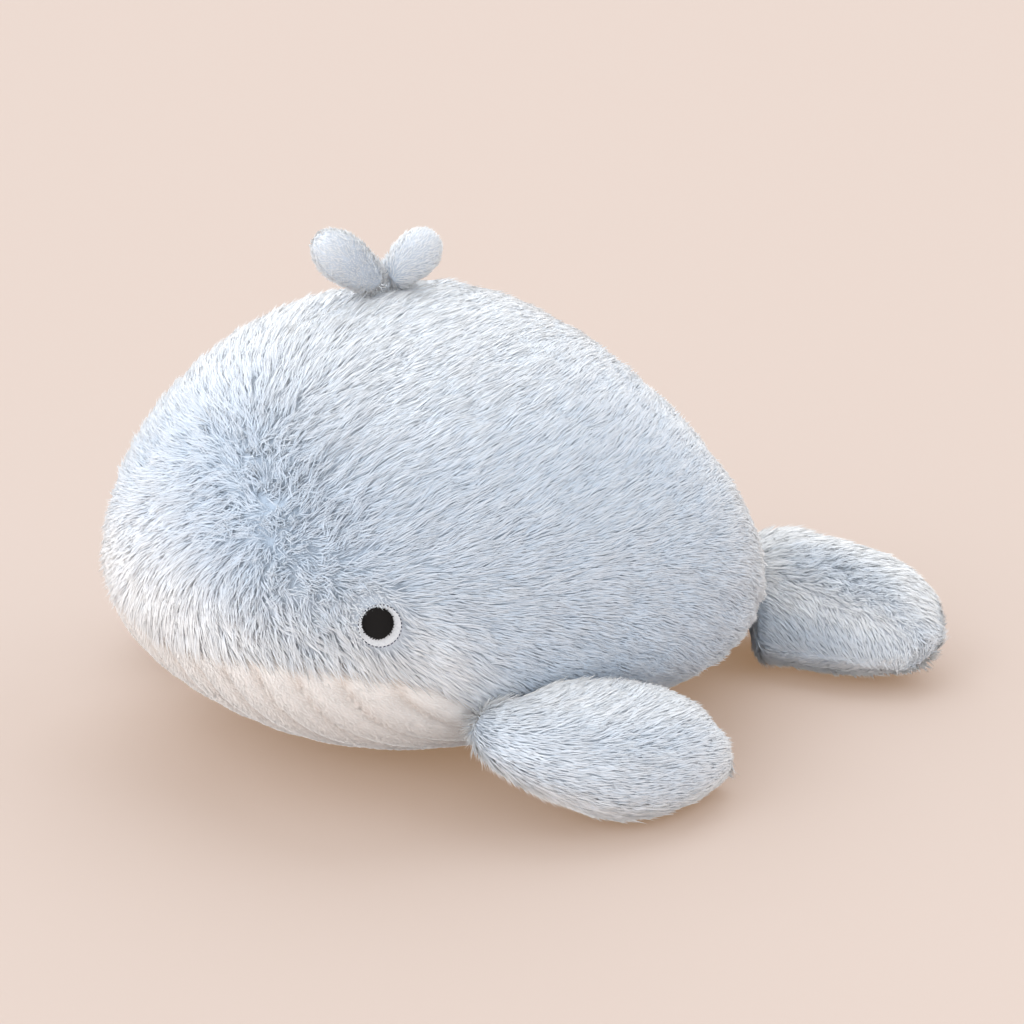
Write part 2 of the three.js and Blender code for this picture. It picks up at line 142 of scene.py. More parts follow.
@dataclass
class Surface:
    """Points and faces of a surface, where a triangle repeats its last corner."""

    points: np.ndarray
    faces: np.ndarray

    def face_normals(self) -> np.ndarray:
        """Area-weighted normals of the faces, from their diagonals."""
        a, b, c, d = (self.points[self.faces[:, k]] for k in range(4))
        return np.cross(c - a, d - b)

    def normals(self) -> np.ndarray:
        """Unit normals at the points."""
        total = np.zeros_like(self.points)
        for corner in range(4):
            np.add.at(total, self.faces[:, corner], self.face_normals())
        return unit(total)

    def facing_from(self, inner: np.ndarray) -> "Surface":
        """Turn the faces to point away from what is inside.

        Args:
            inner: One point, or one for each point of the surface, on its inner side.

        Returns:
            The surface with its faces outward.
        """
        away = np.broadcast_to(self.points - inner, self.points.shape)
        if np.sum(self.normals() * away) < 0:
            return Surface(self.points, self.flipped_faces())
        return self

    def flipped_faces(self) -> np.ndarray:
        """The faces, wound the other way round."""
        triangle = self.faces[:, 2] == self.faces[:, 3]
        flipped = self.faces[:, [3, 2, 1, 0]]
        corners = self.faces[:, [1, 0, 2, 2]]
        return np.where(triangle[:, None], corners, flipped)

    def mirrored(self) -> "Surface":
        """The same surface on the other side of the whale."""
        return Surface(self.points * [-1, 1, 1], self.flipped_faces())

    def edges(self) -> np.ndarray:
        """Edges of the open rim, each in the direction in which its face runs."""
        nexts = np.roll(self.faces, -1, axis=1)
        pairs = np.stack([self.faces, nexts], -1).reshape(-1, 2)
        pairs = pairs[pairs[:, 0] != pairs[:, 1]]
        count = len(self.points)
        forward = pairs[:, 0] * count + pairs[:, 1]
        backward = pairs[:, 1] * count + pairs[:, 0]
        return pairs[~np.isin(forward, backward)]

    def walled(self, thickness: float) -> "Surface":
        """Give the surface a wall on its inner side, closed round its rim.

        Args:
            thickness: Depth of the wall.

        Returns:
            A closed surface. Its first points are the surface's own.
        """
        count = len(self.points)
        inner = self.points - self.normals() * thickness
        rim = self.edges()
        sides = np.stack([rim[:, 1], rim[:, 0], rim[:, 0] + count, rim[:, 1] + count], -1)
        faces = np.concatenate([self.faces, self.flipped_faces() + count, sides])
        return Surface(np.concatenate([self.points, inner]), faces)


def loft(rings: np.ndarray, closed: bool, first: np.ndarray | None, last: np.ndarray | None) -> Surface:
    """Join rings of points into a surface.

    Args:
        rings: Array of rings, points and coordinates.
        closed: Whether each ring runs back to its start.
        first: Point that closes the first ring, or None.
        last: Point that closes the last ring, or None.

    Returns:
        The surface, wound as the rings give it.
    """
    rows, count = rings.shape[:2]
    points = rings.reshape(-1, 3)
    steps = np.arange(count if closed else count - 1)
    row = np.arange(rows - 1)[:, None] * count
    after = (steps + 1) % count
    quads = np.stack(
        [row + steps, row + after, row + count + after, row + count + steps], -1,
    ).reshape(-1, 4)
    faces = [quads]
    if first is not None:
        points = np.concatenate([points, first[None]])
        top = np.full(len(steps), len(points) - 1)
        faces.append(np.stack([top, after, steps, steps], -1))
    if last is not None:
        points = np.concatenate([points, last[None]])
        end = np.full(len(steps), len(points) - 1)
        base = (rows - 1) * count
        faces.append(np.stack([end, base + steps, base + after, base + after], -1))
    return Surface(points, np.concatenate(faces))


def to_mesh(name: str, surface: Surface) -> bpy.types.Mesh:
    """Make a Blender mesh of a surface.

    Args:
        name: Name of the mesh.
        surface: Points and faces.

    Returns:
        The smooth-shaded mesh.
    """
    mesh = bpy.data.meshes.new(name)
    triangle = surface.faces[:, 2] == surface.faces[:, 3]
    faces = [
        face[:3] if three else face
        for face, three in zip(surface.faces.tolist(), triangle.tolist())
    ]
    mesh.from_pydata(surface.points.tolist(), [], faces)
    mesh.shade_smooth()
    return mesh


def to_object(name: str, mesh: bpy.types.Mesh) -> bpy.types.Object:
    """Put a mesh into the scene as an object at the origin.

    Args:
        name: Name of the object.
        mesh: Its mesh.

    Returns:
        The object.
    """
    thing = bpy.data.objects.new(name, mesh)
    bpy.context.scene.collection.objects.link(thing)
    return thing


# Node trees

class Graph:
    """A node tree under construction."""

    def __init__(self, tree: bpy.types.NodeTree) -> None:
        """Start on a tree.

        Args:
            tree: The tree, whose old nodes are taken out.
        """
        self.tree = tree
        tree.nodes.clear()

    def add(self, kind: str, settings: dict | None = None, **values: object) -> bpy.types.Node:
        """Add a node.

        Args:
            kind: Type name of the node.
            settings: Its options, by attribute.
            values: What goes into its sockets, by name with underscores for spaces: a socket
                or a plain value.

        Returns:
            The node.
        """
        node = self.tree.nodes.new(kind)
        for option, choice in (settings or {}).items():
            setattr(node, option, choice)
        for name, value in values.items():
            self.fill(self.socket(node.inputs, name.replace("_", " ")), value)
        return node

    @staticmethod
    def socket(sockets: object, name: str) -> bpy.types.NodeSocket:
        """The socket in use that has a name."""
        return next(one for one in sockets if one.name == name and one.enabled)

    def fill(self, socket: bpy.types.NodeSocket, value: object) -> None:
        """Give a socket its value.

        Args:
            socket: An input.
            value: An output socket to join to it, or a plain value.
        """
        if isinstance(value, bpy.types.NodeSocket):
            self.tree.links.new(value, socket)
        else:
            socket.default_value = value

    def sum(self, operation: str, *values: object) -> bpy.types.NodeSocket:
        """Work out a number from one, two or three others.

        Args:
            operation: Name of the operation, such as ADD.
            values: Sockets or numbers.

        Returns:
            The result's socket.
        """
        node = self.add("ShaderNodeMath", {"operation": operation})
        for socket, value in zip(node.inputs, values):
            self.fill(socket, value)
        return node.outputs[0]

    def vector(self, operation: str, *values: object) -> bpy.types.NodeSocket:
        """Work out a vector from one or two others.

        Args:
            operation: Name of the operation, such as ADD. SCALE takes a vector and a number.
            values: Sockets, vectors or numbers.

        Returns:
            The result's socket.
        """
        node = self.add("ShaderNodeVectorMath", {"operation": operation})
        sockets = [node.inputs[0], node.inputs["Scale"]] if operation == "SCALE" else node.inputs
        for socket, value in zip(sockets, values):
            self.fill(socket, value)
        return node.outputs[0]

    def ramp(self, share: bpy.types.NodeSocket,
             stops: list[tuple[float, tuple]]) -> bpy.types.NodeSocket:
        """Colours along a share.

        Args:
            share: Where to look on the ramp.
            stops: Place and linear colour of each stop, in order.

        Returns:
            The colour's socket.
        """
        node = self.add("ShaderNodeValToRGB")
        elements = node.color_ramp.elements
        while len(elements) < len(stops):
            elements.new(1.0)
        for element, (place, colour) in zip(elements, stops):
            element.position = place
            element.color = (*colour, 1.0)
        self.fill(node.inputs[0], share)
        return node.outputs[0]

    def mixed(self, share: object, first: object, second: object,
              how: str = "MIX") -> bpy.types.NodeSocket:
        """Mix two colours.

        Args:
            share: How much of the second.
            first: First colour, with its alpha, or a socket.
            second: Second colour, with its alpha, or a socket.
            how: Way of mixing.

        Returns:
            The colour's socket.
        """
        node = self.add("ShaderNodeMix", {"data_type": "RGBA", "blend_type": how})
        self.fill(self.socket(node.inputs, "Factor"), share)
        self.fill(self.socket(node.inputs, "A"), first)
        self.fill(self.socket(node.inputs, "B"), second)
        return self.socket(node.outputs, "Result")


def linear(red: int, green: int, blue: int) -> tuple[float, float, float]:
    """Turn a colour as a screen shows it, 0 to 255, into the linear values of a shader."""
    shares = [value / 255 for value in (red, green, blue)]
    return tuple(s / 12.92 if s <= 0.04045 else ((s + 0.055) / 1.055) ** 2.4 for s in shares)


# Finishes

@dataclass(frozen=True)
class PileFinish:
    """Dyed pile: colour from root to tip, between a deeper and a paler dyed colour, mixed by a share of dyed
    tone and painted light and shade.
    """

    name: str
    deep: tuple
    pale: tuple
    roughness: float = 0.75
    sheen: float = 1.0

    def build(self) -> bpy.types.Material:
        """Make the material.

        Returns:
            A material that reads its share of dyed tone and painted light and shade, and the place along the
            strand, from the UV map.
        """
        material = bpy.data.materials.new(self.name)
        material.use_nodes = True
        graph = Graph(material.node_tree)
        place = graph.add("ShaderNodeUVMap", {"uv_map": "OFBake"}).outputs["UV"]
        split = graph.add("ShaderNodeSeparateXYZ", Vector=place)
        dye, along = split.outputs["X"], split.outputs["Y"]
        stops = [0.0, 0.45, 1.0]
        deep = graph.ramp(along, list(zip(stops, self.deep)))
        pale = graph.ramp(along, list(zip(stops, self.pale)))
        colour = graph.mixed(dye, deep, pale)
        shader = graph.add(
            "ShaderNodeBsdfPrincipled",
            Base_Color=colour,
            Roughness=self.roughness,
            Specular_IOR_Level=0.3,
            Sheen_Weight=self.sheen,
            Sheen_Roughness=0.36,
        )
        graph.add("ShaderNodeOutputMaterial", Surface=shader.outputs[0])
        return material


@dataclass(frozen=True)
class FibreFinish:
    """Felt or loose fibre: matted short hairs in one colour, a little uneven."""

    name: str
    colour: tuple
    darker: tuple
    hair: float
    depth: float

    def build(self) -> bpy.types.Material:
        """Make the material.

        Returns:
            A material of crossed, stretched noise on Object coordinates.
        """
        material = bpy.data.materials.new(self.name)
        material.use_nodes = True
        graph = Graph(material.node_tree)
        place = graph.add("ShaderNodeTexCoord").outputs["Object"]
        hairs = []
        for turn, stretch in ((0.4, (1.0, 0.25, 1.0)), (2.1, (0.25, 1.0, 1.0)), (1.2, (1.0, 1.0, 0.25))):
            turned = graph.add(
                "ShaderNodeMapping", Vector=place, Rotation=(turn, turn / 2, turn), Scale=stretch,
            )
            noise = graph.add(
                "ShaderNodeTexNoise",
                Vector=turned.outputs[0], Scale=1 / self.hair, Detail=3.0, Roughness=0.6,
            )
            hairs.append(noise.outputs[0])
        height = graph.sum("MAXIMUM", graph.sum("MAXIMUM", hairs[0], hairs[1]), hairs[2])
        share = graph.add("ShaderNodeMapRange", Value=height, From_Min=0.4, From_Max=0.75).outputs[0]
        colour = graph.mixed(share, (*self.darker, 1), (*self.colour, 1))
        bump = graph.add("ShaderNodeBump", Strength=0.6, Distance=self.depth, Height=height)
        shader = graph.add(
            "ShaderNodeBsdfPrincipled",
            Base_Color=colour, Roughness=0.92, Specular_IOR_Level=0.2, Sheen_Weight=0.2,
            Normal=bump.outputs[0],
        )
        graph.add("ShaderNodeOutputMaterial", Surface=shader.outputs[0])
        return material


@dataclass(frozen=True)
class ThreadFinish:
    """Twisted thread with a faint gloss."""

    name: str
    colour: tuple
    lighter: tuple
    twist: float = 0.00035

    def build(self) -> bpy.types.Material:
        """Make the material.

        Returns:
            A material with fine slanting plies on Object coordinates.
        """
        material = bpy.data.materials.new(self.name)
        material.use_nodes = True
        graph = Graph(material.node_tree)
        place = graph.add("ShaderNodeTexCoord").outputs["Object"]
        noise = graph.add(
            "ShaderNodeTexNoise", Vector=place, Scale=1 / self.twist, Detail=2.0,
        ).outputs[0]
        plies = graph.add(
            "ShaderNodeTexWave", {"bands_direction": "DIAGONAL"},
            Vector=place, Scale=0.3 / self.twist, Distortion=2.0,
        ).outputs[1]
        share = graph.sum("MULTIPLY", noise, plies)
        colour = graph.mixed(share, (*self.colour, 1), (*self.lighter, 1))
        bump = graph.add("ShaderNodeBump", Strength=0.5, Distance=0.0001, Height=share)
        shader = graph.add(
            "ShaderNodeBsdfPrincipled",
            Base_Color=colour, Roughness=0.6, Specular_IOR_Level=0.2, Normal=bump.outputs[0],
        )
        graph.add("ShaderNodeOutputMaterial", Surface=shader.outputs[0])
        return material


@dataclass(frozen=True)
class StudioFinish:
    """Plain matt paper of the studio's floor, whose shadow stays soft and warm to the camera."""

    colour: tuple
    backdrop: tuple
    shown: tuple = (0.32, 0.23, 0.14)

    def build(self) -> bpy.types.Material:
        """Make the material."""
        material = bpy.data.materials.new("studio_paper")
        material.use_nodes = True
        graph = Graph(material.node_tree)
        seen = [value * (1 - share) for value, share in zip(self.colour, self.shown)]
        glow = [value * share for value, share in zip(self.backdrop, self.shown)]
        paper = graph.add("ShaderNodeBsdfDiffuse", Color=(*self.colour, 1))
        dimmed = graph.add("ShaderNodeBsdfDiffuse", Color=(*seen, 1))
        light = graph.add("ShaderNodeEmission", Color=(*glow, 1), Strength=1.0)
        both = graph.add("ShaderNodeAddShader")
        graph.fill(both.inputs[0], dimmed.outputs[0])
        graph.fill(both.inputs[1], light.outputs[0])
        camera = graph.add("ShaderNodeLightPath").outputs["Is Camera Ray"]
        shader = graph.add("ShaderNodeMixShader", Fac=camera)
        graph.fill(shader.inputs[1], paper.outputs[0])
        graph.fill(shader.inputs[2], both.outputs[0])
        graph.add("ShaderNodeOutputMaterial", Surface=shader.outputs[0])
        return material


# Pile

@dataclass
class Coat:
    """How the pile lies at each point of a surface."""

    nap: np.ndarray
    lift: np.ndarray
    reach: np.ndarray
    mess: np.ndarray
    tone: np.ndarray
    cover: np.ndarray

    def mirrored(self) -> "Coat":
        """The same coat on the other side of the whale."""
        return replace(self, nap=self.nap * [-1, 1, 1])

    def bare_inside(self) -> "Coat":
        """The coat of a walled surface: the wall's own points carry no pile."""
        twice = {name: np.concatenate([value, value]) for name, value in vars(self).items()}
        twice["cover"][len(self.cover):] = 0
        return Coat(**twice)


@dataclass(frozen=True)
class Pile:
    """A kind of pile: its strands, and how they stand together."""

    spacing: float
    width: float
    bow: float
    clump: float
    clump_size: float
    wander: float
    wander_size: float
    dye_spread: float
    softness: float = 2.0


class PileTree:
    """Geometry nodes that grow pile on the cloth that carries it."""

    def __init__(self) -> None:
        """Build the tree and its named inputs."""
        self.tree = bpy.data.node_groups.new("pile", "GeometryNodeTree")
        self.graph = Graph(self.tree)
        self.keys: dict[str, str] = {}
        self.add_input("Cloth", "NodeSocketGeometry")
        for name in ("Spacing", "Width", "Bow", "Clump", "Clump Size", "Wander", "Wander Size",
                     "Dye Spread", "Softness", "Floor", "Hole Radius"):
            self.add_input(name, "NodeSocketFloat")
        self.add_input("Hole", "NodeSocketVector")
        self.add_input("Seed", "NodeSocketInt")
        self.add_input("Finish", "NodeSocketMaterial")
        self.tree.interface.new_socket(name="Piece", in_out="OUTPUT", socket_type="NodeSocketGeometry")
        self.source = self.graph.add("NodeGroupInput").outputs
        self.build()

    def add_input(self, name: str, kind: str) -> None:
        """Add a named input and keep its identifier."""
        socket = self.tree.interface.new_socket(name=name, in_out="INPUT", socket_type=kind)
        self.keys[name] = socket.identifier

    def attribute(self, name: str, kind: str = "FLOAT") -> bpy.types.NodeSocket:
        """Read an attribute of the cloth."""
        node = self.graph.add("GeometryNodeInputNamedAttribute", {"data_type": kind}, Name=name)
        return Graph.socket(node.outputs, "Attribute")

    def random(self, kind: str, low: object, high: object, offset: int) -> bpy.types.NodeSocket:
        """A random value for each root.

        Args:
            kind: FLOAT or FLOAT_VECTOR.
            low: Least value.
            high: Greatest value.
            offset: What is added to the seed, so that values differ from each other.

        Returns:
            The value's socket.
        """
        seed = self.graph.sum("ADD", self.source["Seed"], offset)
        node = self.graph.add(
            "FunctionNodeRandomValue", {"data_type": kind}, Min=low, Max=high, Seed=seed,
        )
        return Graph.socket(node.outputs, "Value")

    def store(self, geometry: bpy.types.NodeSocket, name: str, value: object,
              kind: str = "FLOAT", domain: str = "POINT") -> bpy.types.NodeSocket:
        """Keep a value as an attribute of a geometry.

        Args:
            geometry: What carries the attribute.
            name: Name of the attribute.
            value: Its socket or number.
            kind: Its data type.
            domain: What has one value each.

        Returns:
            The geometry's socket.
        """
        node = self.graph.add(
            "GeometryNodeStoreNamedAttribute", {"data_type": kind, "domain": domain},
            Geometry=geometry, Name=name, Value=value,
        )
        return node.outputs[0]

    def strand(self) -> bpy.types.NodeSocket:
        """One strand of six faces: fine at its root, widest at a third, bowed, one unit long."""
        graph = self.graph
        ball = graph.add("GeometryNodeMeshUVSphere", Segments=3, Rings=2, Radius=1.0)
        corner = graph.add("GeometryNodeInputPosition").outputs[0]
        place = graph.add("ShaderNodeSeparateXYZ", Vector=corner)
        height = place.outputs["Z"]
        square = graph.sum("MULTIPLY", height, height)
        along = graph.sum("ADD", graph.sum("MULTIPLY_ADD", height, 0.5, 0.36),
                          graph.sum("MULTIPLY", square, 0.14))
        bow = graph.sum("MULTIPLY", graph.sum("SUBTRACT", 1.0, square), self.source["Bow"])
        moved = graph.add(
            "ShaderNodeCombineXYZ",
            X=place.outputs["X"], Y=graph.sum("ADD", place.outputs["Y"], bow), Z=along,
        )
        shaped = graph.add(
            "GeometryNodeSetPosition", Geometry=ball.outputs["Mesh"], Position=moved.outputs[0],
        )
        shifted = graph.add("GeometryNodeInputPosition").outputs[0]
        here = graph.add("ShaderNodeSeparateXYZ", Vector=shifted)
        return self.store(shaped.outputs[0], "along", here.outputs["Z"])

    def build(self) -> None:
        """Join the tree's steps: roots, directions, strands, dyed tone with painted light and shade, cloth
        and finish.
        """
        graph, source = self.graph, self.source
        spacing = source["Spacing"]
        density = graph.sum("DIVIDE", 2.2, graph.sum("MULTIPLY", spacing, spacing))
        roots = graph.add(
            "GeometryNodeDistributePointsOnFaces", {"distribute_method": "POISSON"},
            Mesh=source["Cloth"], Distance_Min=spacing, Density_Max=density,
            Density_Factor=self.attribute("cover"), Seed=source["Seed"],
        )
        normal = roots.outputs["Normal"]
        place = graph.add("GeometryNodeInputPosition").outputs[0]
        gap = graph.add("ShaderNodeVectorMath", {"operation": "DISTANCE"})
        graph.fill(gap.inputs[0], place)
        graph.fill(gap.inputs[1], source["Hole"])
        kept = graph.add(
            "GeometryNodeDeleteGeometry", {"domain": "POINT"}, Geometry=roots.outputs["Points"],
            Selection=graph.sum("LESS_THAN", gap.outputs["Value"], source["Hole Radius"]),
        )
        lift = self.attribute("lift")
        nap = graph.vector("SCALE", self.attribute("nap", "FLOAT_VECTOR"), graph.sum("COSINE", lift))
        rise = graph.vector("SCALE", normal, graph.sum("SINE", lift))
        cells = graph.add(
            "ShaderNodeTexVoronoi", Vector=place, Scale=graph.sum("DIVIDE", 1.0, source["Clump Size"]),
        )
        tuft = graph.vector("SUBTRACT", cells.outputs["Color"], (0.5, 0.5, 0.5))
        stray = self.random("FLOAT_VECTOR", (-0.45, -0.45, -0.45), (0.45, 0.45, 0.45), 1)
        loose = graph.vector("ADD", stray, graph.vector("SCALE", tuft, 2.1))
        jitter = graph.vector("SCALE", loose, self.attribute("mess"))
        untidy = graph.sum("MULTIPLY_ADD", self.attribute("mess"), 1.6, 1.0)
        clump = graph.sum("MULTIPLY", source["Clump"], untidy)
        gather = graph.vector(
            "SCALE", graph.vector("SUBTRACT", cells.outputs["Position"], place),
            graph.sum("DIVIDE", clump, self.attribute("reach")),
        )
        noise = graph.add(
            "ShaderNodeTexNoise", Vector=place, Scale=graph.sum("DIVIDE", 1.0, source["Wander Size"]),
            Detail=1.0,
        )
        drift = graph.vector(
            "SCALE", graph.vector("SUBTRACT", noise.outputs["Color"], (0.5, 0.5, 0.5)), source["Wander"],
        )
        chord = graph.vector("ADD", nap, rise)
        for part in (jitter, gather, drift):
            chord = graph.vector("ADD", chord, part)
        roll = graph.vector(
            "ADD", normal,
            graph.vector("SCALE", self.random("FLOAT_VECTOR", (-1, -1, -1), (1, 1, 1), 2), 0.7),
        )
        turn = graph.add(
            "FunctionNodeAxesToRotation", {"primary_axis": "Z", "secondary_axis": "Y"},
            Primary_Axis=chord, Secondary_Axis=roll,
        )
        length = graph.sum("MULTIPLY", self.attribute("reach"), self.random("FLOAT", 0.72, 1.25, 3))
        width = graph.sum("MULTIPLY", source["Width"], self.random("FLOAT", 0.7, 1.3, 4))
        size = graph.add("ShaderNodeCombineXYZ", X=width, Y=width, Z=length)
        grown = graph.add(
            "GeometryNodeInstanceOnPoints", Points=kept.outputs[0], Instance=self.strand(),
            Rotation=turn.outputs[0], Scale=size.outputs[0],
        )
        cell_dye = graph.add("ShaderNodeSeparateXYZ", Vector=cells.outputs["Color"]).outputs["X"]
        tuft_dye = graph.sum("MULTIPLY_ADD", cell_dye, 1.2, -0.6)
        uneven = graph.sum("ADD", self.random("FLOAT", -1.0, 1.0, 5), tuft_dye)
        # Share that picks the colour: random and per-tuft dyeing on top of the coat's tone, which carries
        # painted light and shade.
        dye = graph.sum("MULTIPLY_ADD", uneven, source["Dye Spread"], self.attribute("tone"))
        dyed = self.store(grown.outputs[0], "dye", dye, domain="INSTANCE")
        dyed = self.store(dyed, "skin", normal, "FLOAT_VECTOR", "INSTANCE")
        strands = graph.add("GeometryNodeRealizeInstances", Geometry=dyed).outputs[0]
        cloth = self.store(source["Cloth"], "dye", self.attribute("tone"))
        cloth = self.store(cloth, "along", CLOTH_PLACE)
        whole = graph.add("GeometryNodeJoinGeometry")
        self.tree.links.new(strands, whole.inputs[0])
        self.tree.links.new(cloth, whole.inputs[0])
        lying = graph.add("GeometryNodeInputPosition").outputs[0]
        spot = graph.add("ShaderNodeSeparateXYZ", Vector=lying)
        laid = graph.add(
            "ShaderNodeCombineXYZ", X=spot.outputs["X"], Y=spot.outputs["Y"],
            Z=graph.sum("MAXIMUM", spot.outputs["Z"], source["Floor"]),
        )
        rested = graph.add(
            "GeometryNodeSetPosition", Geometry=whole.outputs[0], Position=laid.outputs[0],
        )
        held = graph.add("ShaderNodeClamp", Value=self.attribute("dye"), Min=0.02, Max=0.98)
        corner = graph.add("ShaderNodeCombineXYZ", X=held.outputs[0], Y=self.attribute("along"))
        mapped = self.store(rested.outputs[0], "OFBake", corner.outputs[0], "FLOAT2", "CORNER")
        smooth_shaded = graph.add("GeometryNodeSetShadeSmooth", Geometry=mapped)
        finished = graph.add(
            "GeometryNodeSetMaterial", Geometry=smooth_shaded.outputs[0], Material=source["Finish"],
        )
        own = graph.add("GeometryNodeInputNormal").outputs["Normal"]
        under = graph.vector("SCALE", self.attribute("skin", "FLOAT_VECTOR"), source["Softness"])
        soft = graph.vector("NORMALIZE", graph.vector("ADD", own, under))
        lit = graph.add(
            "GeometryNodeSetMeshNormal", {"mode": "FREE"}, Mesh=finished.outputs[0], Custom_Normal=soft,
        )
        graph.add("NodeGroupOutput", Piece=lit.outputs[0])

    def grow(self, name: str, cloth: Surface, coat: Coat, pile: Pile, finish: bpy.types.Material,
             seed: int, hole: tuple = (0.0, 0.0, 0.0), hole_radius: float = 0.0) -> bpy.types.Object:
        """Grow the pile of one piece.

        Args:
            name: Name of the piece.
            cloth: Its closed cloth.
            coat: How the pile lies on it.
            pile: The kind of pile.
            finish: Material of strands and cloth.
            seed: Number that fixes what is random.
            hole: Middle of a bare place.
            hole_radius: Its radius.

        Returns:
            The piece, as one plain mesh.
        """
        mesh = to_mesh(name + "_cloth", cloth)
        for key, value in vars(coat).items():
            kind, part = ("FLOAT_VECTOR", "vector") if value.ndim == 2 else ("FLOAT", "value")
            layer = mesh.attributes.new(key, kind, "POINT")
            layer.data.foreach_set(part, value.astype(np.float32).ravel())
        return run_tree(name, mesh, self.tree, self.keys, {
            "Spacing": pile.spacing, "Width": pile.width, "Bow": pile.bow, "Clump": pile.clump,
            "Clump Size": pile.clump_size, "Wander": pile.wander, "Wander Size": pile.wander_size,
            "Dye Spread": pile.dye_spread, "Softness": pile.softness, "Floor": FLOOR_CLEARANCE,
            "Seed": seed, "Finish": finish, "Hole": hole, "Hole Radius": hole_radius,
        })


def run_tree(name: str, mesh: bpy.types.Mesh, tree: bpy.types.NodeTree, keys: dict[str, str],
             values: dict[str, object]) -> bpy.types.Object:
    """Run geometry nodes on a mesh and keep the result as a plain mesh.

    Args:
        name: Name of the piece.
        mesh: What goes in.
        tree: The node tree.
        keys: Identifier of each named input.
        values: Value of each named input.

    Returns:
        The finished piece.
    """
    thing = to_object(name, mesh)
    modifier = thing.modifiers.new("nodes", "NODES")
    modifier.node_group = tree
    for key, value in values.items():
        modifier[keys[key]] = value
    evaluated = thing.evaluated_get(bpy.context.evaluated_depsgraph_get())
    result = bpy.data.meshes.new_from_object(evaluated)
    thing.modifiers.remove(modifier)
    thing.data = result
    bpy.data.meshes.remove(mesh)
    result.name = name
    for layer in list(result.attributes):
        if layer.name in WORK_LAYERS:
            result.attributes.remove(layer)
    return thing


# Body

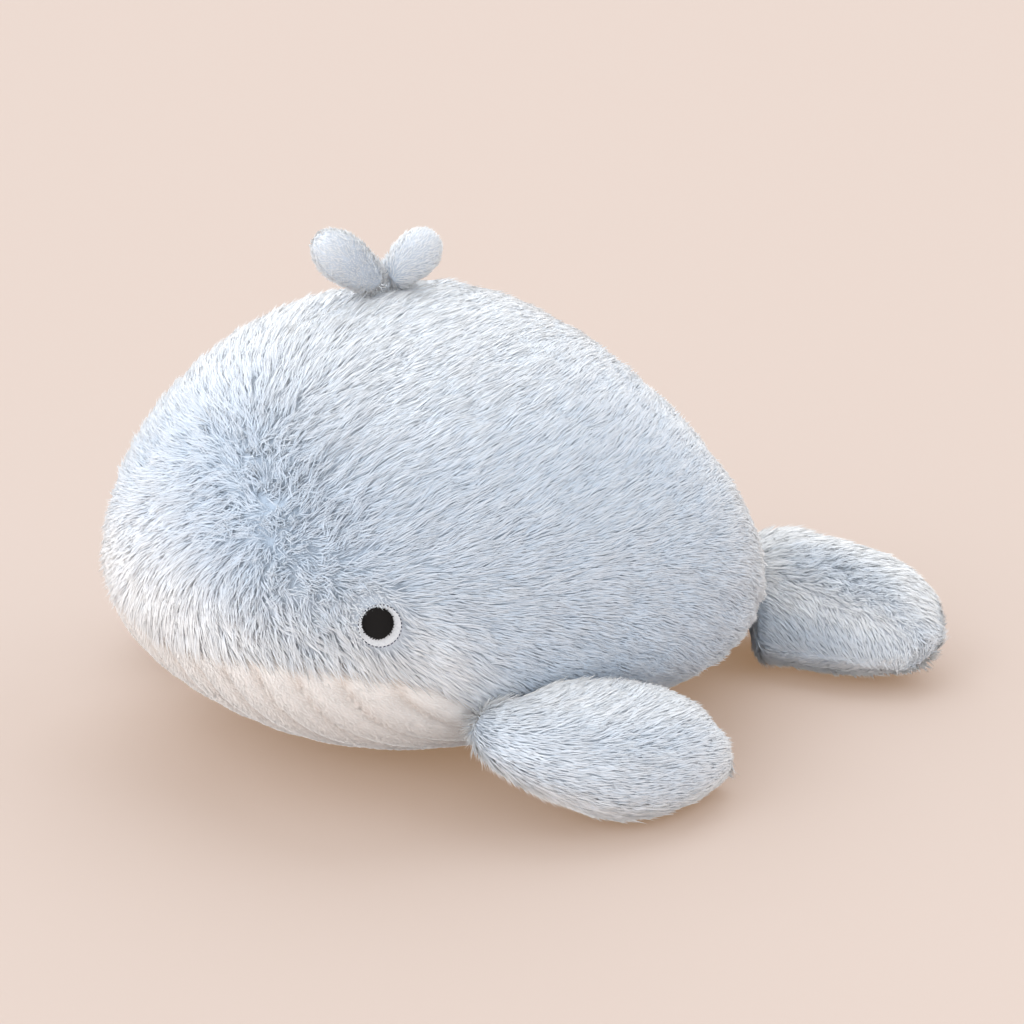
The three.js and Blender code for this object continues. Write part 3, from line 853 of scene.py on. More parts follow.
@dataclass
class BodyForm:
    """The body's outline, as sections along it from nose to rump."""

    length: float = 0.300
    nose_length: float = 0.144
    width: float = 0.236
    crown_height: float = 0.189
    nose_height: float = 0.078
    rump_height: float = 0.051
    floor_cut: float = 0.0005
    nose_plan: tuple = (2.42, 2.55)
    rump_plan: tuple = (3.16, 1.43)
    nose_crown: tuple = (2.34, 1.74)
    rump_crown: tuple = (1.84, 1.15)
    belly: tuple = (2.51, 2.0)
    upper_ring: float = 1.92
    lower_ring: float = 2.38
    heart_share: float = 0.14
    border: tuple = (
        (0, -6.2), (20, -4.4), (33, -3.7), (45, -4.8), (54, -7), (61, -10.4), (70, -18),
        (80, -27), (95, -37), (120, -45), (150, -48), (180, -48),
    )

    @property
    def middle_height(self) -> float:
        """Height of the widest section's middle."""
        return (self.nose_height + self.rump_height) / 2

    @property
    def heart(self) -> np.ndarray:
        """The point inside from which the border's bearings are taken."""
        return np.array([0.0, -self.heart_share * self.nose_length, self.nose_height])

    def ring(self, along: np.ndarray, inset: float) -> tuple[np.ndarray, ...]:
        """Sizes of the section at a share along the body.

        Args:
            along: -1 at the nose, 1 at the rump.
            inset: Depth below the outline.

        Returns:
            Its y, middle height, half width, rise and drop.
        """
        share = np.clip(np.abs(along), 0, 1)
        front = np.asarray(along) < 0
        middle = self.middle_height + (np.where(front, self.nose_height, self.rump_height)
                                       - self.middle_height) * share
        reach = np.where(front, self.nose_length, self.length - self.nose_length) - inset

        def fullness(powers: tuple) -> np.ndarray:
            """How full a section is, for one curve's two powers."""
            return np.maximum(1 - share ** powers[0], 0) ** (1 / powers[1])

        half_width = (self.width / 2 - inset) * np.where(
            front, fullness(self.nose_plan), fullness(self.rump_plan))
        rise = (self.crown_height - self.middle_height - inset) * np.where(
            front, fullness(self.nose_crown), fullness(self.rump_crown))
        drop = (middle + self.floor_cut - inset) * fullness(self.belly)
        return along * reach, middle, half_width, rise, drop

    def point(self, along: np.ndarray, around: np.ndarray, inset: float = 0.0) -> np.ndarray:
        """Points of the outline.

        Args:
            along: Shares along the body.
            around: Angles round it, 0 at the left and a quarter turn at the crown.
            inset: Depth below the outline.

        Returns:
            The points.
        """
        y, middle, half_width, rise, drop = self.ring(along, inset)
        cosine, sine = np.cos(around), np.sin(around)
        power = np.where(sine > 0, self.upper_ring, self.lower_ring)
        reach = (np.abs(cosine) ** power + np.abs(sine) ** power) ** (-1 / power)
        height = np.where(sine > 0, rise, drop) * reach * sine
        return np.stack(np.broadcast_arrays(half_width * reach * cosine, y, middle + height), -1)

    def normal(self, along: float, around: float) -> np.ndarray:
        """The outward direction at one point of the outline.

        Args:
            along: Share along the body.
            around: Angle round it.

        Returns:
            A unit vector.
        """
        step = 1e-3
        lengthways = self.point(along + step, around) - self.point(along - step, around)
        roundways = self.point(along, around + step) - self.point(along, around - step)
        return unit(np.cross(lengthways, roundways))

    def holds(self, points: np.ndarray, inset: float) -> np.ndarray:
        """Whether points lie inside the outline at a depth.

        Args:
            points: Where to look.
            inset: Depth below the outline.

        Returns:
            True for each point inside.
        """
        front = points[..., 1] < 0
        reach = np.where(front, self.nose_length, self.length - self.nose_length) - inset
        along = points[..., 1] / reach
        _, middle, half_width, rise, drop = self.ring(along, inset)
        above = points[..., 2] > middle
        power = np.where(above, self.upper_ring, self.lower_ring)
        high = np.where(above, rise, drop)
        across = np.abs(points[..., 0]) / np.maximum(half_width, 1e-9)
        upward = np.abs(points[..., 2] - middle) / np.maximum(high, 1e-9)
        return (np.abs(along) < 1) & (across ** power + upward ** power < 1)

    def seen(self, sight: np.ndarray, inset: float) -> np.ndarray:
        """Points of the outline along sight lines from the heart.

        Args:
            sight: Unit directions.
            inset: Depth below the outline.

        Returns:
            Where each line leaves the body.
        """
        low = np.zeros(sight.shape[:-1])
        high = np.full(sight.shape[:-1], self.length)
        for _ in range(36):
            middle = (low + high) / 2
            inside = self.holds(self.heart + sight * middle[..., None], inset)
            low = np.where(inside, middle, low)
            high = np.where(inside, high, middle)
        return self.heart + sight * low[..., None]

    def border_rise(self, bearing: np.ndarray) -> np.ndarray:
        """Elevation of the border between blue and cream, in radians.

        Args:
            bearing: Angle from the nose round to the side, in radians.

        Returns:
            The elevation of a smooth curve through the border's points.
        """
        places = np.radians(np.array(self.border, float))
        around = np.abs((np.asarray(bearing) + np.pi) % (2 * np.pi) - np.pi)
        spots = []
        for segment in range(len(places) - 1):
            a, b, c, d = (places[int(np.clip(segment + k, 0, len(places) - 1))] for k in (-1, 0, 1, 2))
            for t in np.linspace(0, 1, 8, endpoint=False):
                spots.append(0.5 * (2 * b + (c - a) * t + (2 * a - 5 * b + 4 * c - d) * t ** 2
                                    + (3 * b - a - 3 * c + d) * t ** 3))
        spots.append(places[-1])
        curve = np.array(spots)
        return np.interp(around, curve[:, 0], curve[:, 1])

    def sight(self, bearing: np.ndarray, rise: np.ndarray) -> np.ndarray:
        """Unit directions from bearings and elevations."""
        return np.stack(np.broadcast_arrays(
            np.sin(bearing) * np.cos(rise), -np.cos(bearing) * np.cos(rise), np.sin(rise)), -1)

    def above_border(self, points: np.ndarray) -> np.ndarray:
        """Height of points above the border.

        Args:
            points: Where to look.

        Returns:
            Angles at the heart, in radians.
        """
        away = unit(points - self.heart)
        bearing = np.arctan2(np.abs(away[..., 0]), -away[..., 1])
        return np.arcsin(np.clip(away[..., 2], -1, 1)) - self.border_rise(bearing)


@dataclass
class Whorl:
    """The line on the forehead from which the nap parts, with ruffled fur round it."""

    upper: tuple = (0.024, -0.116, 0.143)
    lower: tuple = (0.070, -0.121, 0.098)
    radius: float = 0.032

    def nearest(self, points: np.ndarray) -> np.ndarray:
        """The points of the line that lie nearest to others.

        Args:
            points: Where to look from.

        Returns:
            One point of the line for each.
        """
        start, along = np.array(self.upper), np.subtract(self.lower, self.upper)
        share = np.clip((points - start) @ along / (along @ along), 0, 1)
        return start + share[:, None] * along


@dataclass
class Body:
    """The stuffed body: two side panels, the belly panel and the stuffing."""

    form: BodyForm = field(default_factory=BodyForm)
    whorl: Whorl = field(default_factory=Whorl)
    eye_centre: np.ndarray = field(default_factory=lambda: np.zeros(3))
    limb_roots: tuple = ()
    eye_gap: float = 0.0083
    eye_shift: tuple = (0.0003, 0.0004, -0.0005)
    fur_depth: float = 0.0035
    cloth: float = 0.0018
    fur_length: float = 0.0092
    pile_depth: float = 0.0018
    pile_length: float = 0.0019
    stuffing_depth: float = 0.0079
    pleat_angle: float = 9.0
    pleat_depth: float = 0.0042
    pressed_height: float = 0.015
    border_slope: float = 0.09
    fur: Pile = Pile(
        spacing=0.00064, width=0.00027, bow=3.0, clump=0.11, clump_size=0.0032,
        wander=0.7, wander_size=0.011, dye_spread=0.14, softness=4.0,
    )
    pile: Pile = Pile(
        spacing=0.00078, width=0.00030, bow=1.0, clump=0.08, clump_size=0.0025,
        wander=0.3, wander_size=0.010, dye_spread=0.05, softness=3.2,
    )

    def side_cloth(self) -> Surface:
        """The left side panel's cloth, a lens between the border and the crown seam."""
        form = self.form
        steps, rows = 120, 72
        share = spaced(steps)[1:-1]
        bearing = np.pi * share
        low = form.sight(bearing, form.border_rise(bearing))
        ends = form.border_rise(np.array([0.0, np.pi]))
        turn = ends[0] + (np.pi - ends[0] - ends[1]) * share
        high = np.stack([np.zeros_like(turn), -np.cos(turn), np.sin(turn)], -1)
        part = np.linspace(0, 1, rows + 1)[None, :, None]
        apart = np.arccos(np.clip(np.sum(low * high, -1), -1, 1))[:, None, None]
        lower = np.sin((1 - part) * apart) * low[:, None]
        upper = np.sin(part * apart) * high[:, None]
        sight = (lower + upper) / np.sin(apart)
        sight[:, -1, 0] = 0.0
        tips = form.sight(np.array([0.0, np.pi]), ends)
        points = form.seen(unit(sight), self.fur_depth)
        ends_seen = form.seen(tips, self.fur_depth)
        surface = loft(points, False, ends_seen[0], ends_seen[1]).facing_from(form.heart)
        raised = 1 - smooth(np.linalg.norm(surface.points - self.eye_centre, axis=-1), 0.010, 0.017)
        height = self.fur_depth - 0.0016 + 0.0012 * self.pressed(surface.points, 1.0)
        lifted = surface.points + surface.normals() * (raised * height)[:, None]
        return Surface(lifted, surface.faces)

    def side_coat(self, surface: Surface) -> Coat:
        """How the fur lies on a side panel: away from the whorl, back to the tail, down at the border.

        Args:
            surface: The panel's outer face, left or right.

        Returns:
            The coat.
        """
        form, points, normals = self.form, surface.points, surface.normals()
        hand = 1.0 if points[:, 0].sum() > 0 else -1.0
        away = points - self.whorl.nearest(points)
        far = np.linalg.norm(away, axis=-1)
        above = form.above_border(points)
        low = 1 - smooth(above, np.radians(4), np.radians(24))
        ahead = 1 - smooth(points[:, 1], -0.075, -0.01)
        slope = 1.35 * smooth(points[:, 2], 0.045, 0.150) - 0.60
        back = np.stack([np.zeros(len(points)), np.ones(len(points)), slope], -1)
        pull = np.exp(-(far / 0.10) ** 2)[:, None]
        parted = smooth(far, 0.0, 0.022)[:, None]
        nap = unit(away) * (1.4 * pull * parted) + unit(back) * (1 - 0.85 * pull)
        hanging = (low * ahead)[:, None]
        beside = unit(np.stack([-normals[:, 1], normals[:, 0], np.zeros(len(points))], -1)) * hand
        beside = beside * smooth(np.abs(points[:, 0]), 0.0, 0.045)[:, None]
        nap = nap * (1 - 0.80 * hanging) + (beside + np.array([0, 0, -0.75])) * hanging
        centre = self.eye_centre * [hand, 1, 1]
        eye = points - centre
        near_eye = np.linalg.norm(eye, axis=-1)
        pressed = self.pressed(points, hand)
        nap += unit(eye) * (np.exp(-(near_eye / 0.014) ** 2) * (1.6 - 3.6 * pressed))[:, None]
        whorl = np.exp(-(far / self.whorl.radius) ** 2)
        line = np.exp(-(far / 0.010) ** 2)
        rim = 1 - smooth(above, np.radians(0), np.radians(12))
        # Painted top light: fur that faces up is made paler.
        crown = smooth(normals[:, 2], 0.50, 0.95)
        reach = self.fur_length * (1 + 0.18 * rim * ahead) * (1 - 0.66 * pressed) * (1 - 0.2 * line)
        pale = 1 - smooth(above, np.radians(1), np.radians(20))
        # Painted rim light: the rear of the body is made paler.
        rump = smooth(points[:, 1], 0.05, 0.16)
        shade = (1 - smooth(points[:, 2], 0.03, 0.09)) * smooth(points[:, 1], -0.05, 0.0)
        apart = [np.linalg.norm(points - root * [hand, 1, 1], axis=-1) for root in self.limb_roots]
        beside_limb = np.exp(-(np.min(apart, axis=0) / 0.016) ** 2)
        # Painted rim light: fur at the front that faces the nose is made paler.
        edge = smooth(np.abs(normals[:, 1]), 0.75, 1.0) * ahead * (1 - np.minimum(1.6 * whorl, 1))
        # The colour share sums the dyed tone with painted light on the top, the front and the rear, and
        # painted shade low on the flank.
        dye = 0.20 + 0.66 * pale * ahead + 0.50 * crown - 0.18 * whorl + 0.15 * pressed + 0.35 * edge
        dye += 0.85 * rump - 0.20 * shade * (1 - rump)
        lift = 9.5 + 26 * whorl + 8 * line + 2 * ahead + rim * ahead + 38 * pressed + 8 * beside_limb
        return Coat(
            nap=along_cloth(nap, normals),
            lift=np.radians(lift),
            reach=reach * (1 + 0.12 * beside_limb),
            mess=(0.09 + 0.44 * whorl + 0.34 * line + 0.05 * ahead * (1 - low)) * (1 - 0.5 * pressed),
            tone=np.clip(dye, 0, 1),
            cover=np.ones(len(points)),
        )

    def pressed(self, points: np.ndarray, hand: float) -> np.ndarray:
        """How far short fur lies over the front and top edge of the eye.

        Args:
            points: Where to look.
            hand: 1 for the left eye, -1 for the right one.

        Returns:
            Shares, 1 in the patch and 0 away from it.
        """
        centre = self.eye_centre * [hand, 1, 1] + np.array([-0.0016 * hand, -0.0032, 0.0036])
        return 1 - smooth(np.linalg.norm(points - centre, axis=-1), 0.0100, 0.0140)

    def belly_cloth(self) -> Surface:
        """The belly panel's cloth: a cap with lengthways pleats, whose edge goes in under the fur."""
        form = self.form
        steps, rows = 300, 80
        bearing = 2 * np.pi * np.arange(steps) / steps
        edge = form.border_rise(bearing)
        share = (np.arange(1, rows + 1) / rows)[:, None]
        rise = -np.pi / 2 + (edge[None] + np.pi / 2) * share
        sunk = smooth(rise - edge[None], -self.border_slope, 0.0)
        depth = self.pile_depth + (self.fur_depth + 0.0002 - self.pile_depth) * sunk
        points = form.seen(form.sight(bearing[None] + 0 * rise, rise), depth)
        under = form.seen(np.array([[0.0, 0.0, -1.0]]), self.pile_depth)[0]
        surface = loft(points, True, under, None).facing_from(form.heart)
        crease = self.crease(surface.points)
        open_cloth = np.append(smooth(edge[None] - rise, 0.02, 0.16).ravel(), 1.0)
        depth = self.pleat_depth * (1 - np.sqrt(np.maximum(1 - crease ** 2, 0))) * open_cloth
        depth = depth * smooth(surface.points[:, 2], 0, self.pressed_height)
        inward = unit(form.heart - surface.points)
        return Surface(surface.points + inward * depth[:, None], surface.faces)

    def crease(self, points: np.ndarray) -> np.ndarray:
        """Nearness of points to a pleat's crease.

        Args:
            points: Where to look.

        Returns:
            Shares, 0 on a ridge and 1 in a crease.
        """
        turn = np.degrees(np.arccos(np.clip(-points[:, 0] / (self.form.width / 2), -1, 1)))
        place = turn / self.pleat_angle
        return np.abs(2 * (place - np.floor(place)) - 1)

    def belly_coat(self, surface: Surface) -> Coat:
        """How the short pile lies on the belly panel, thinner in the creases, where its colour has painted
        shade.

        Args:
            surface: The panel's outer face.

        Returns:
            The coat.
        """
        points, normals = surface.points, surface.normals()
        count = len(points)
        nap = np.stack([0.25 * np.sign(points[:, 0]), np.ones(count), np.full(count, -0.4)], -1)
        crease = self.crease(points) ** 4
        return Coat(
            nap=along_cloth(nap, normals),
            lift=np.full(count, np.radians(20.0)),
            reach=self.pile_length * (1 - 0.3 * crease),
            mess=np.full(count, 0.08),
            # Painted shade: the pile is darker in the creases.
            tone=1.0 - 0.90 * crease,
            cover=np.ones(count),
        )

    def wadding(self) -> Surface:
        """The loose stuffing, a little lumpy."""
        form = self.form
        along = spaced(40, -1, 1)[1:-1, None]
        around = (2 * np.pi * np.arange(56) / 56)[None]
        rings = form.point(along, around, self.stuffing_depth)
        first = form.point(-1.0, 0.0, self.stuffing_depth)
        last = form.point(1.0, 0.0, self.stuffing_depth)
        return lumpy(loft(rings, True, first, last).facing_from(form.heart), 0.0012)

    def build(self, shop: "Workshop") -> None:
        """Make the body's pieces.

        Args:
            shop: Finishes and tools.
        """
        left = self.side_cloth()
        for side in Side:
            name = f"side_panel_{side.name.lower()}"
            outer = left if side is Side.LEFT else left.mirrored()
            coat = self.side_coat(outer).bare_inside()
            middle = (self.eye_centre + self.eye_shift) * [side.value, 1, 1]
            piece = shop.pile_tree.grow(
                name, outer.walled(self.cloth), coat, self.fur, shop.blue, 11 + side.value,
                tuple(float(v) for v in middle), self.eye_gap,
            )
            shop.soft(piece, "body", "blue_fur", 0.85, f"body_skin_{side.name.lower()}")
        belly = self.belly_cloth()
        piece = shop.pile_tree.grow(
            "belly_pleats", belly.walled(self.cloth), self.belly_coat(belly).bare_inside(),
            self.pile, shop.cream, 21,
        )
        shop.soft(piece, "body", "cream_pile", 0.8, "belly_panel")
        shop.stuff("body_wadding", self.wadding(), "body", "body_filling")


def lumpy(surface: Surface, depth: float) -> Surface:
    """Press soft hollows into a surface.

    Args:
        surface: Closed surface, faces outward.
        depth: Depth of the deepest hollow.

    Returns:
        The uneven surface, nowhere outside the old one.
    """
    p = surface.points / 0.011
    wave = np.sin(p[:, 0] + 1.3 * np.sin(p[:, 1])) + np.sin(1.1 * p[:, 1] + 1.7 * np.sin(p[:, 2]))
    wave += np.sin(0.9 * p[:, 2] + 1.1 * np.sin(p[:, 0]))
    share = (3 - wave) / 6
    return Surface(surface.points - surface.normals() * (share * depth)[:, None], surface.faces)


# Limbs

@dataclass
class Limb:
    """A fin, fluke or spout lobe: two panels round their stuffing, narrow at the root."""

    name: str
    body: str
    seat: tuple
    span: float
    width: float
    thickness: float
    root_radius: float
    tip_height: float = 0.0
    floor_cut: float = 0.0
    heading: float = 0.0
    sweep: float = 1.0
    widest: float = 0.5
    landing: float = 0.5
    roll: float = 0.0
    tip: float = 2.0
    lean: float | None = None
    fur_depth: float = 0.0031
    cloth: float = 0.0012
    stuffing_depth: float = 0.0062
    root_clearance: float = 0.0030
    fur_length: float = 0.0080
    fan: float = 0.5
    tone: float = 0.36
    # Strength of the painted top light on the limb's pile.
    crown: float = 0.30
    collar: float = 0.0
    band: float = 0.0
    band_width: float = 0.3
    ruffle: float = 0.0
    lift: float = 27.0
    mess: float = 0.18
    seam_gap: float = 0.0003
    bend: float = 0.020
    form: BodyForm = field(default_factory=BodyForm)
    fur: Pile = Pile(
        spacing=0.00066, width=0.00027, bow=3.0, clump=0.12, clump_size=0.0034,
        wander=0.5, wander_size=0.013, dye_spread=0.12, softness=4.0,
    )

    def root(self) -> tuple[np.ndarray, np.ndarray]:
        """Middle of the root, where the hinge passes, and the body's normal there."""
        along, around = self.seat[0], math.radians(self.seat[1])
        normal = self.form.normal(along, around)
        return self.form.point(along, around) + normal * (self.root_radius + self.seam_gap), normal

    def heading_at(self, share: np.ndarray) -> np.ndarray:
        """Angle of the middle line from straight back.

        Args:
            share: Shares of the span.

        Returns:
            Angles in radians.
        """
        normal = self.root()[1]
        start = math.atan2(normal[0], normal[1])
        end = math.radians(self.heading)
        return end + (start - end) * np.maximum(1 - share, 0) ** self.sweep

    def sizes(self, share: np.ndarray, inset: float) -> tuple[np.ndarray, ...]:
        """Half width, half thickness, roll and half height of sections.

        Args:
            share: Shares of the span.
            inset: Depth below the outline.

        Returns:
            The four arrays.
        """
        swell = np.sin(np.pi / 2 * np.clip(share / self.widest, 0, 1))
        past = np.clip((share - self.widest) / (1 - self.widest), 0, 1)
        taper = np.sqrt(1 - past ** self.tip)
        nose = np.clip(share * self.span / self.root_radius, 0, 1)
        narrow = taper * np.sqrt(1 - (1 - nose) ** 2)
        wide = (self.root_radius + (self.width / 2 - self.root_radius) * swell) * narrow
        thick = (self.root_radius + (self.thickness / 2 - self.root_radius) * swell) * narrow
        roll = math.radians(self.roll) * smooth(share, 0, self.widest)
        half = self.thickness / 2
        return (wide - inset * np.minimum(wide / half, 1), thick * (1 - inset / half), roll,
                np.hypot(wide * np.sin(roll), thick * np.cos(roll)))

    def frames(self, share: np.ndarray) -> tuple[np.ndarray, ...]:
        """Centre, way on, way across and way through of sections.

        Args:
            share: Shares of the span.

        Returns:
            Four arrays of vectors.
        """
        root, _ = self.root()
        if self.lean is not None:
            lean = math.radians(self.lean)
            on = np.array([0.0, math.sin(lean), math.cos(lean)])
            centre = root + on * (share * self.span - self.root_radius)[:, None]
            across = np.array([0.0, math.cos(lean), -math.sin(lean)])
            through = np.array([1.0, 0.0, 0.0])
            return tuple(np.broadcast_to(v, centre.shape) for v in (centre, on, across, through))
        steps = 240
        angle = self.heading_at((np.arange(steps) + 0.5) / steps)
        moved = np.stack([np.sin(angle), np.cos(angle)], -1) * self.span / steps
        start = self.heading_at(np.array(0.0))
        first = root[:2] - self.root_radius * np.array([np.sin(start), np.cos(start)])
        path = first + np.concatenate([np.zeros((1, 2)), np.cumsum(moved, 0)])
        places = np.arange(steps + 1) / steps
        plan = [np.interp(share, places, path[:, k]) for k in (0, 1)]
        tallest = self.sizes(np.array(self.widest), 0)[3]
        landed = smooth(share, 0, self.landing)
        height = root[2] + (tallest - self.floor_cut - root[2]) * landed
        drop = np.where(share > self.widest, 1 - self.sizes(share, 0)[3] / tallest, 0)
        height = height - (tallest - self.tip_height) * drop
        centre = np.stack([*plan, height], -1)
        angle, roll = self.heading_at(share), self.sizes(share, 0)[2]
        flat = np.zeros_like(angle)
        on = np.stack([np.sin(angle), np.cos(angle), flat], -1)
        sideways = np.stack([np.cos(angle), -np.sin(angle), flat], -1)
        across = -sideways * np.cos(roll)[:, None] + UP * np.sin(roll)[:, None]
        through = sideways * np.sin(roll)[:, None] + UP * np.cos(roll)[:, None]
        return centre, on, across, through

    def sections(self, share: np.ndarray, angles: np.ndarray, inset: float) -> np.ndarray:
        """Points of the outline.

        Args:
            share: Shares of the span.
            angles: Angles round each section.
            inset: Depth below the outline.

        Returns:
            Rings of points.
        """
        centre, _, across, through = self.frames(share)
        wide, thick, _, _ = self.sizes(share, inset)
        turn = (wide[:, None] * np.cos(angles))[..., None]
        rise = (thick[:, None] * np.sin(angles))[..., None]
        return centre[:, None] + across[:, None] * turn + through[:, None] * rise

    def panel(self, panel: Panel) -> tuple[Surface, Coat]:
        """Cloth and coat of one panel of the left or middle limb.

        Args:
            panel: Which half.

        Returns:
            The panel's outer face and how its pile lies.
        """
        rows, columns = 44, 28
        share = spaced(rows, 0.3 * self.root_radius / self.span, 1 - self.fur_depth / self.span)
        angles = panel.value * np.linspace(0, np.pi, columns + 1)
        rings = self.sections(share, angles, self.fur_depth)
        centre, on, across, _ = self.frames(share)
        surface = loft(rings[:-1], False, centre[0], centre[-1])
        inner = np.concatenate([np.repeat(centre[:-1], columns + 1, 0), centre[:1], centre[-2:-1]])
        surface = surface.facing_from(inner)
        cosine = np.tile(np.cos(angles), rows)
        nap = np.repeat(on[:-1], columns + 1, 0)
        beside = cosine - self.band
        nap = nap + np.repeat(across[:-1], columns + 1, 0) * (self.fan * beside)[:, None]
        nap = np.concatenate([nap, on[:1], on[-1:]])
        places = np.concatenate([np.repeat(share[:-1], columns + 1), share[:1], share[-1:]])
        count = len(surface.points)
        normals = surface.normals()
        tip = smooth(places, 0.6, 1.0)
        root = 1 - smooth(places, 0.0, 0.35)
        in_band = np.exp(-(np.concatenate([beside, [1, 1]]) / self.band_width) ** 2)
        ruffled = self.ruffle * in_band * (1 - root)
        # Painted top light: fur that faces up is made paler, less so in the ruffled band.
        crown = self.crown * smooth(normals[:, 2], 0.60, 0.95) * (1 - np.minimum(ruffled * 3, 1))
        # Painted light on the underside: fur that faces down is made paler.
        under = smooth(-normals[:, 2], 0.1, 0.8)
        dye = self.tone + 0.42 * tip - 0.15 * root + crown - 0.7 * ruffled + 0.4 * under
        coat = Coat(
            nap=along_cloth(nap, normals),
            lift=np.radians(self.lift + 60 * ruffled),
            reach=self.fur_length * (1 - 0.25 * tip + self.collar * root),
            mess=self.mess + ruffled,
            tone=np.clip(dye, 0, 1),
            cover=np.ones(count),
        )
        return surface, coat

    def wadding(self) -> Surface:
        """The limb's stuffing, clear of its root."""
        first = (2 * self.root_radius + self.stuffing_depth + self.root_clearance) / self.span
        if self.lean is not None:
            first = (self.root_radius + self.stuffing_depth) / self.span
        share = spaced(20, first, 1 - self.stuffing_depth / self.span)
        angles = 2 * np.pi * np.arange(28) / 28
        rings = self.sections(share, angles, self.stuffing_depth)
        surface = loft(rings[:-1], True, rings[0].mean(0), rings[-1].mean(0))
        inner = surface.points.mean(0)
        return lumpy(surface.facing_from(inner), 0.12 * self.stuffing_depth)

    def hinge_span(self, side: Side) -> tuple[Vector, Vector]:
        """Where the cover starts and ends its bend.

        Args:
            side: Which side of the whale.

        Returns:
            The first and last place of the bend.
        """
        share = np.array([0.0, self.bend / self.span])
        places = self.frames(share)[0] * [side.value, 1, 1]
        return Vector(places[0]), Vector(places[1])

    def build_pair(self, shop: "Workshop", seed: int) -> None:
        """Make the left and right limb.

        Args:
            shop: Finishes and tools.
            seed: Number that fixes what is random.
        """
        wadding = self.wadding()
        for panel in Panel:
            outer, lie = self.panel(panel)
            closed, coat = outer.walled(self.cloth), lie.bare_inside()
            for side in Side:
                mirrored = side is Side.RIGHT
                word, half = side.name.lower(), panel.name.lower()
                piece = shop.pile_tree.grow(
                    f"{self.name}_{half}_{word}",
                    closed.mirrored() if mirrored else closed,
                    coat.mirrored() if mirrored else coat,
                    self.fur, shop.blue, seed + panel.value + 3 * side.value,
                )
                start, end = self.hinge_span(side)
                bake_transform(piece, "body", f"{self.body}_{word}", start=start, end=end)
                shop.soft(piece, None, "blue_fur", 0.8, f"{self.body}_{word}_{half}")
        for side in Side:
            word = side.name.lower()
            body = f"{self.body}_{word}"
            surface = wadding if side is Side.LEFT else wadding.mirrored()
            shop.stuff(f"{self.name}_wadding_{word}", surface, body, f"{body}_filling")

    def build_middle(self, shop: "Workshop", seed: int) -> None:
        """Make a spout lobe on the middle seam, whose panels lie left and right.

        Args:
            shop: Finishes and tools.
            seed: Number that fixes what is random.
        """
        start, end = self.hinge_span(Side.LEFT)
        for panel, word in ((Panel.TOP, "left"), (Panel.BOTTOM, "right")):
            outer, lie = self.panel(panel)
            piece = shop.pile_tree.grow(
                f"{self.name}_{word}", outer.walled(self.cloth), lie.bare_inside(), self.fur,
                shop.velvet, seed + panel.value,
            )
            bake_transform(piece, "body", self.body, start=start, end=end)
            shop.soft(piece, None, "spout_pile", 0.8, f"{self.body}_{word}")
        shop.stuff(f"{self.name}_wadding", self.wadding(), self.body, f"{self.body}_filling")


# Eyes

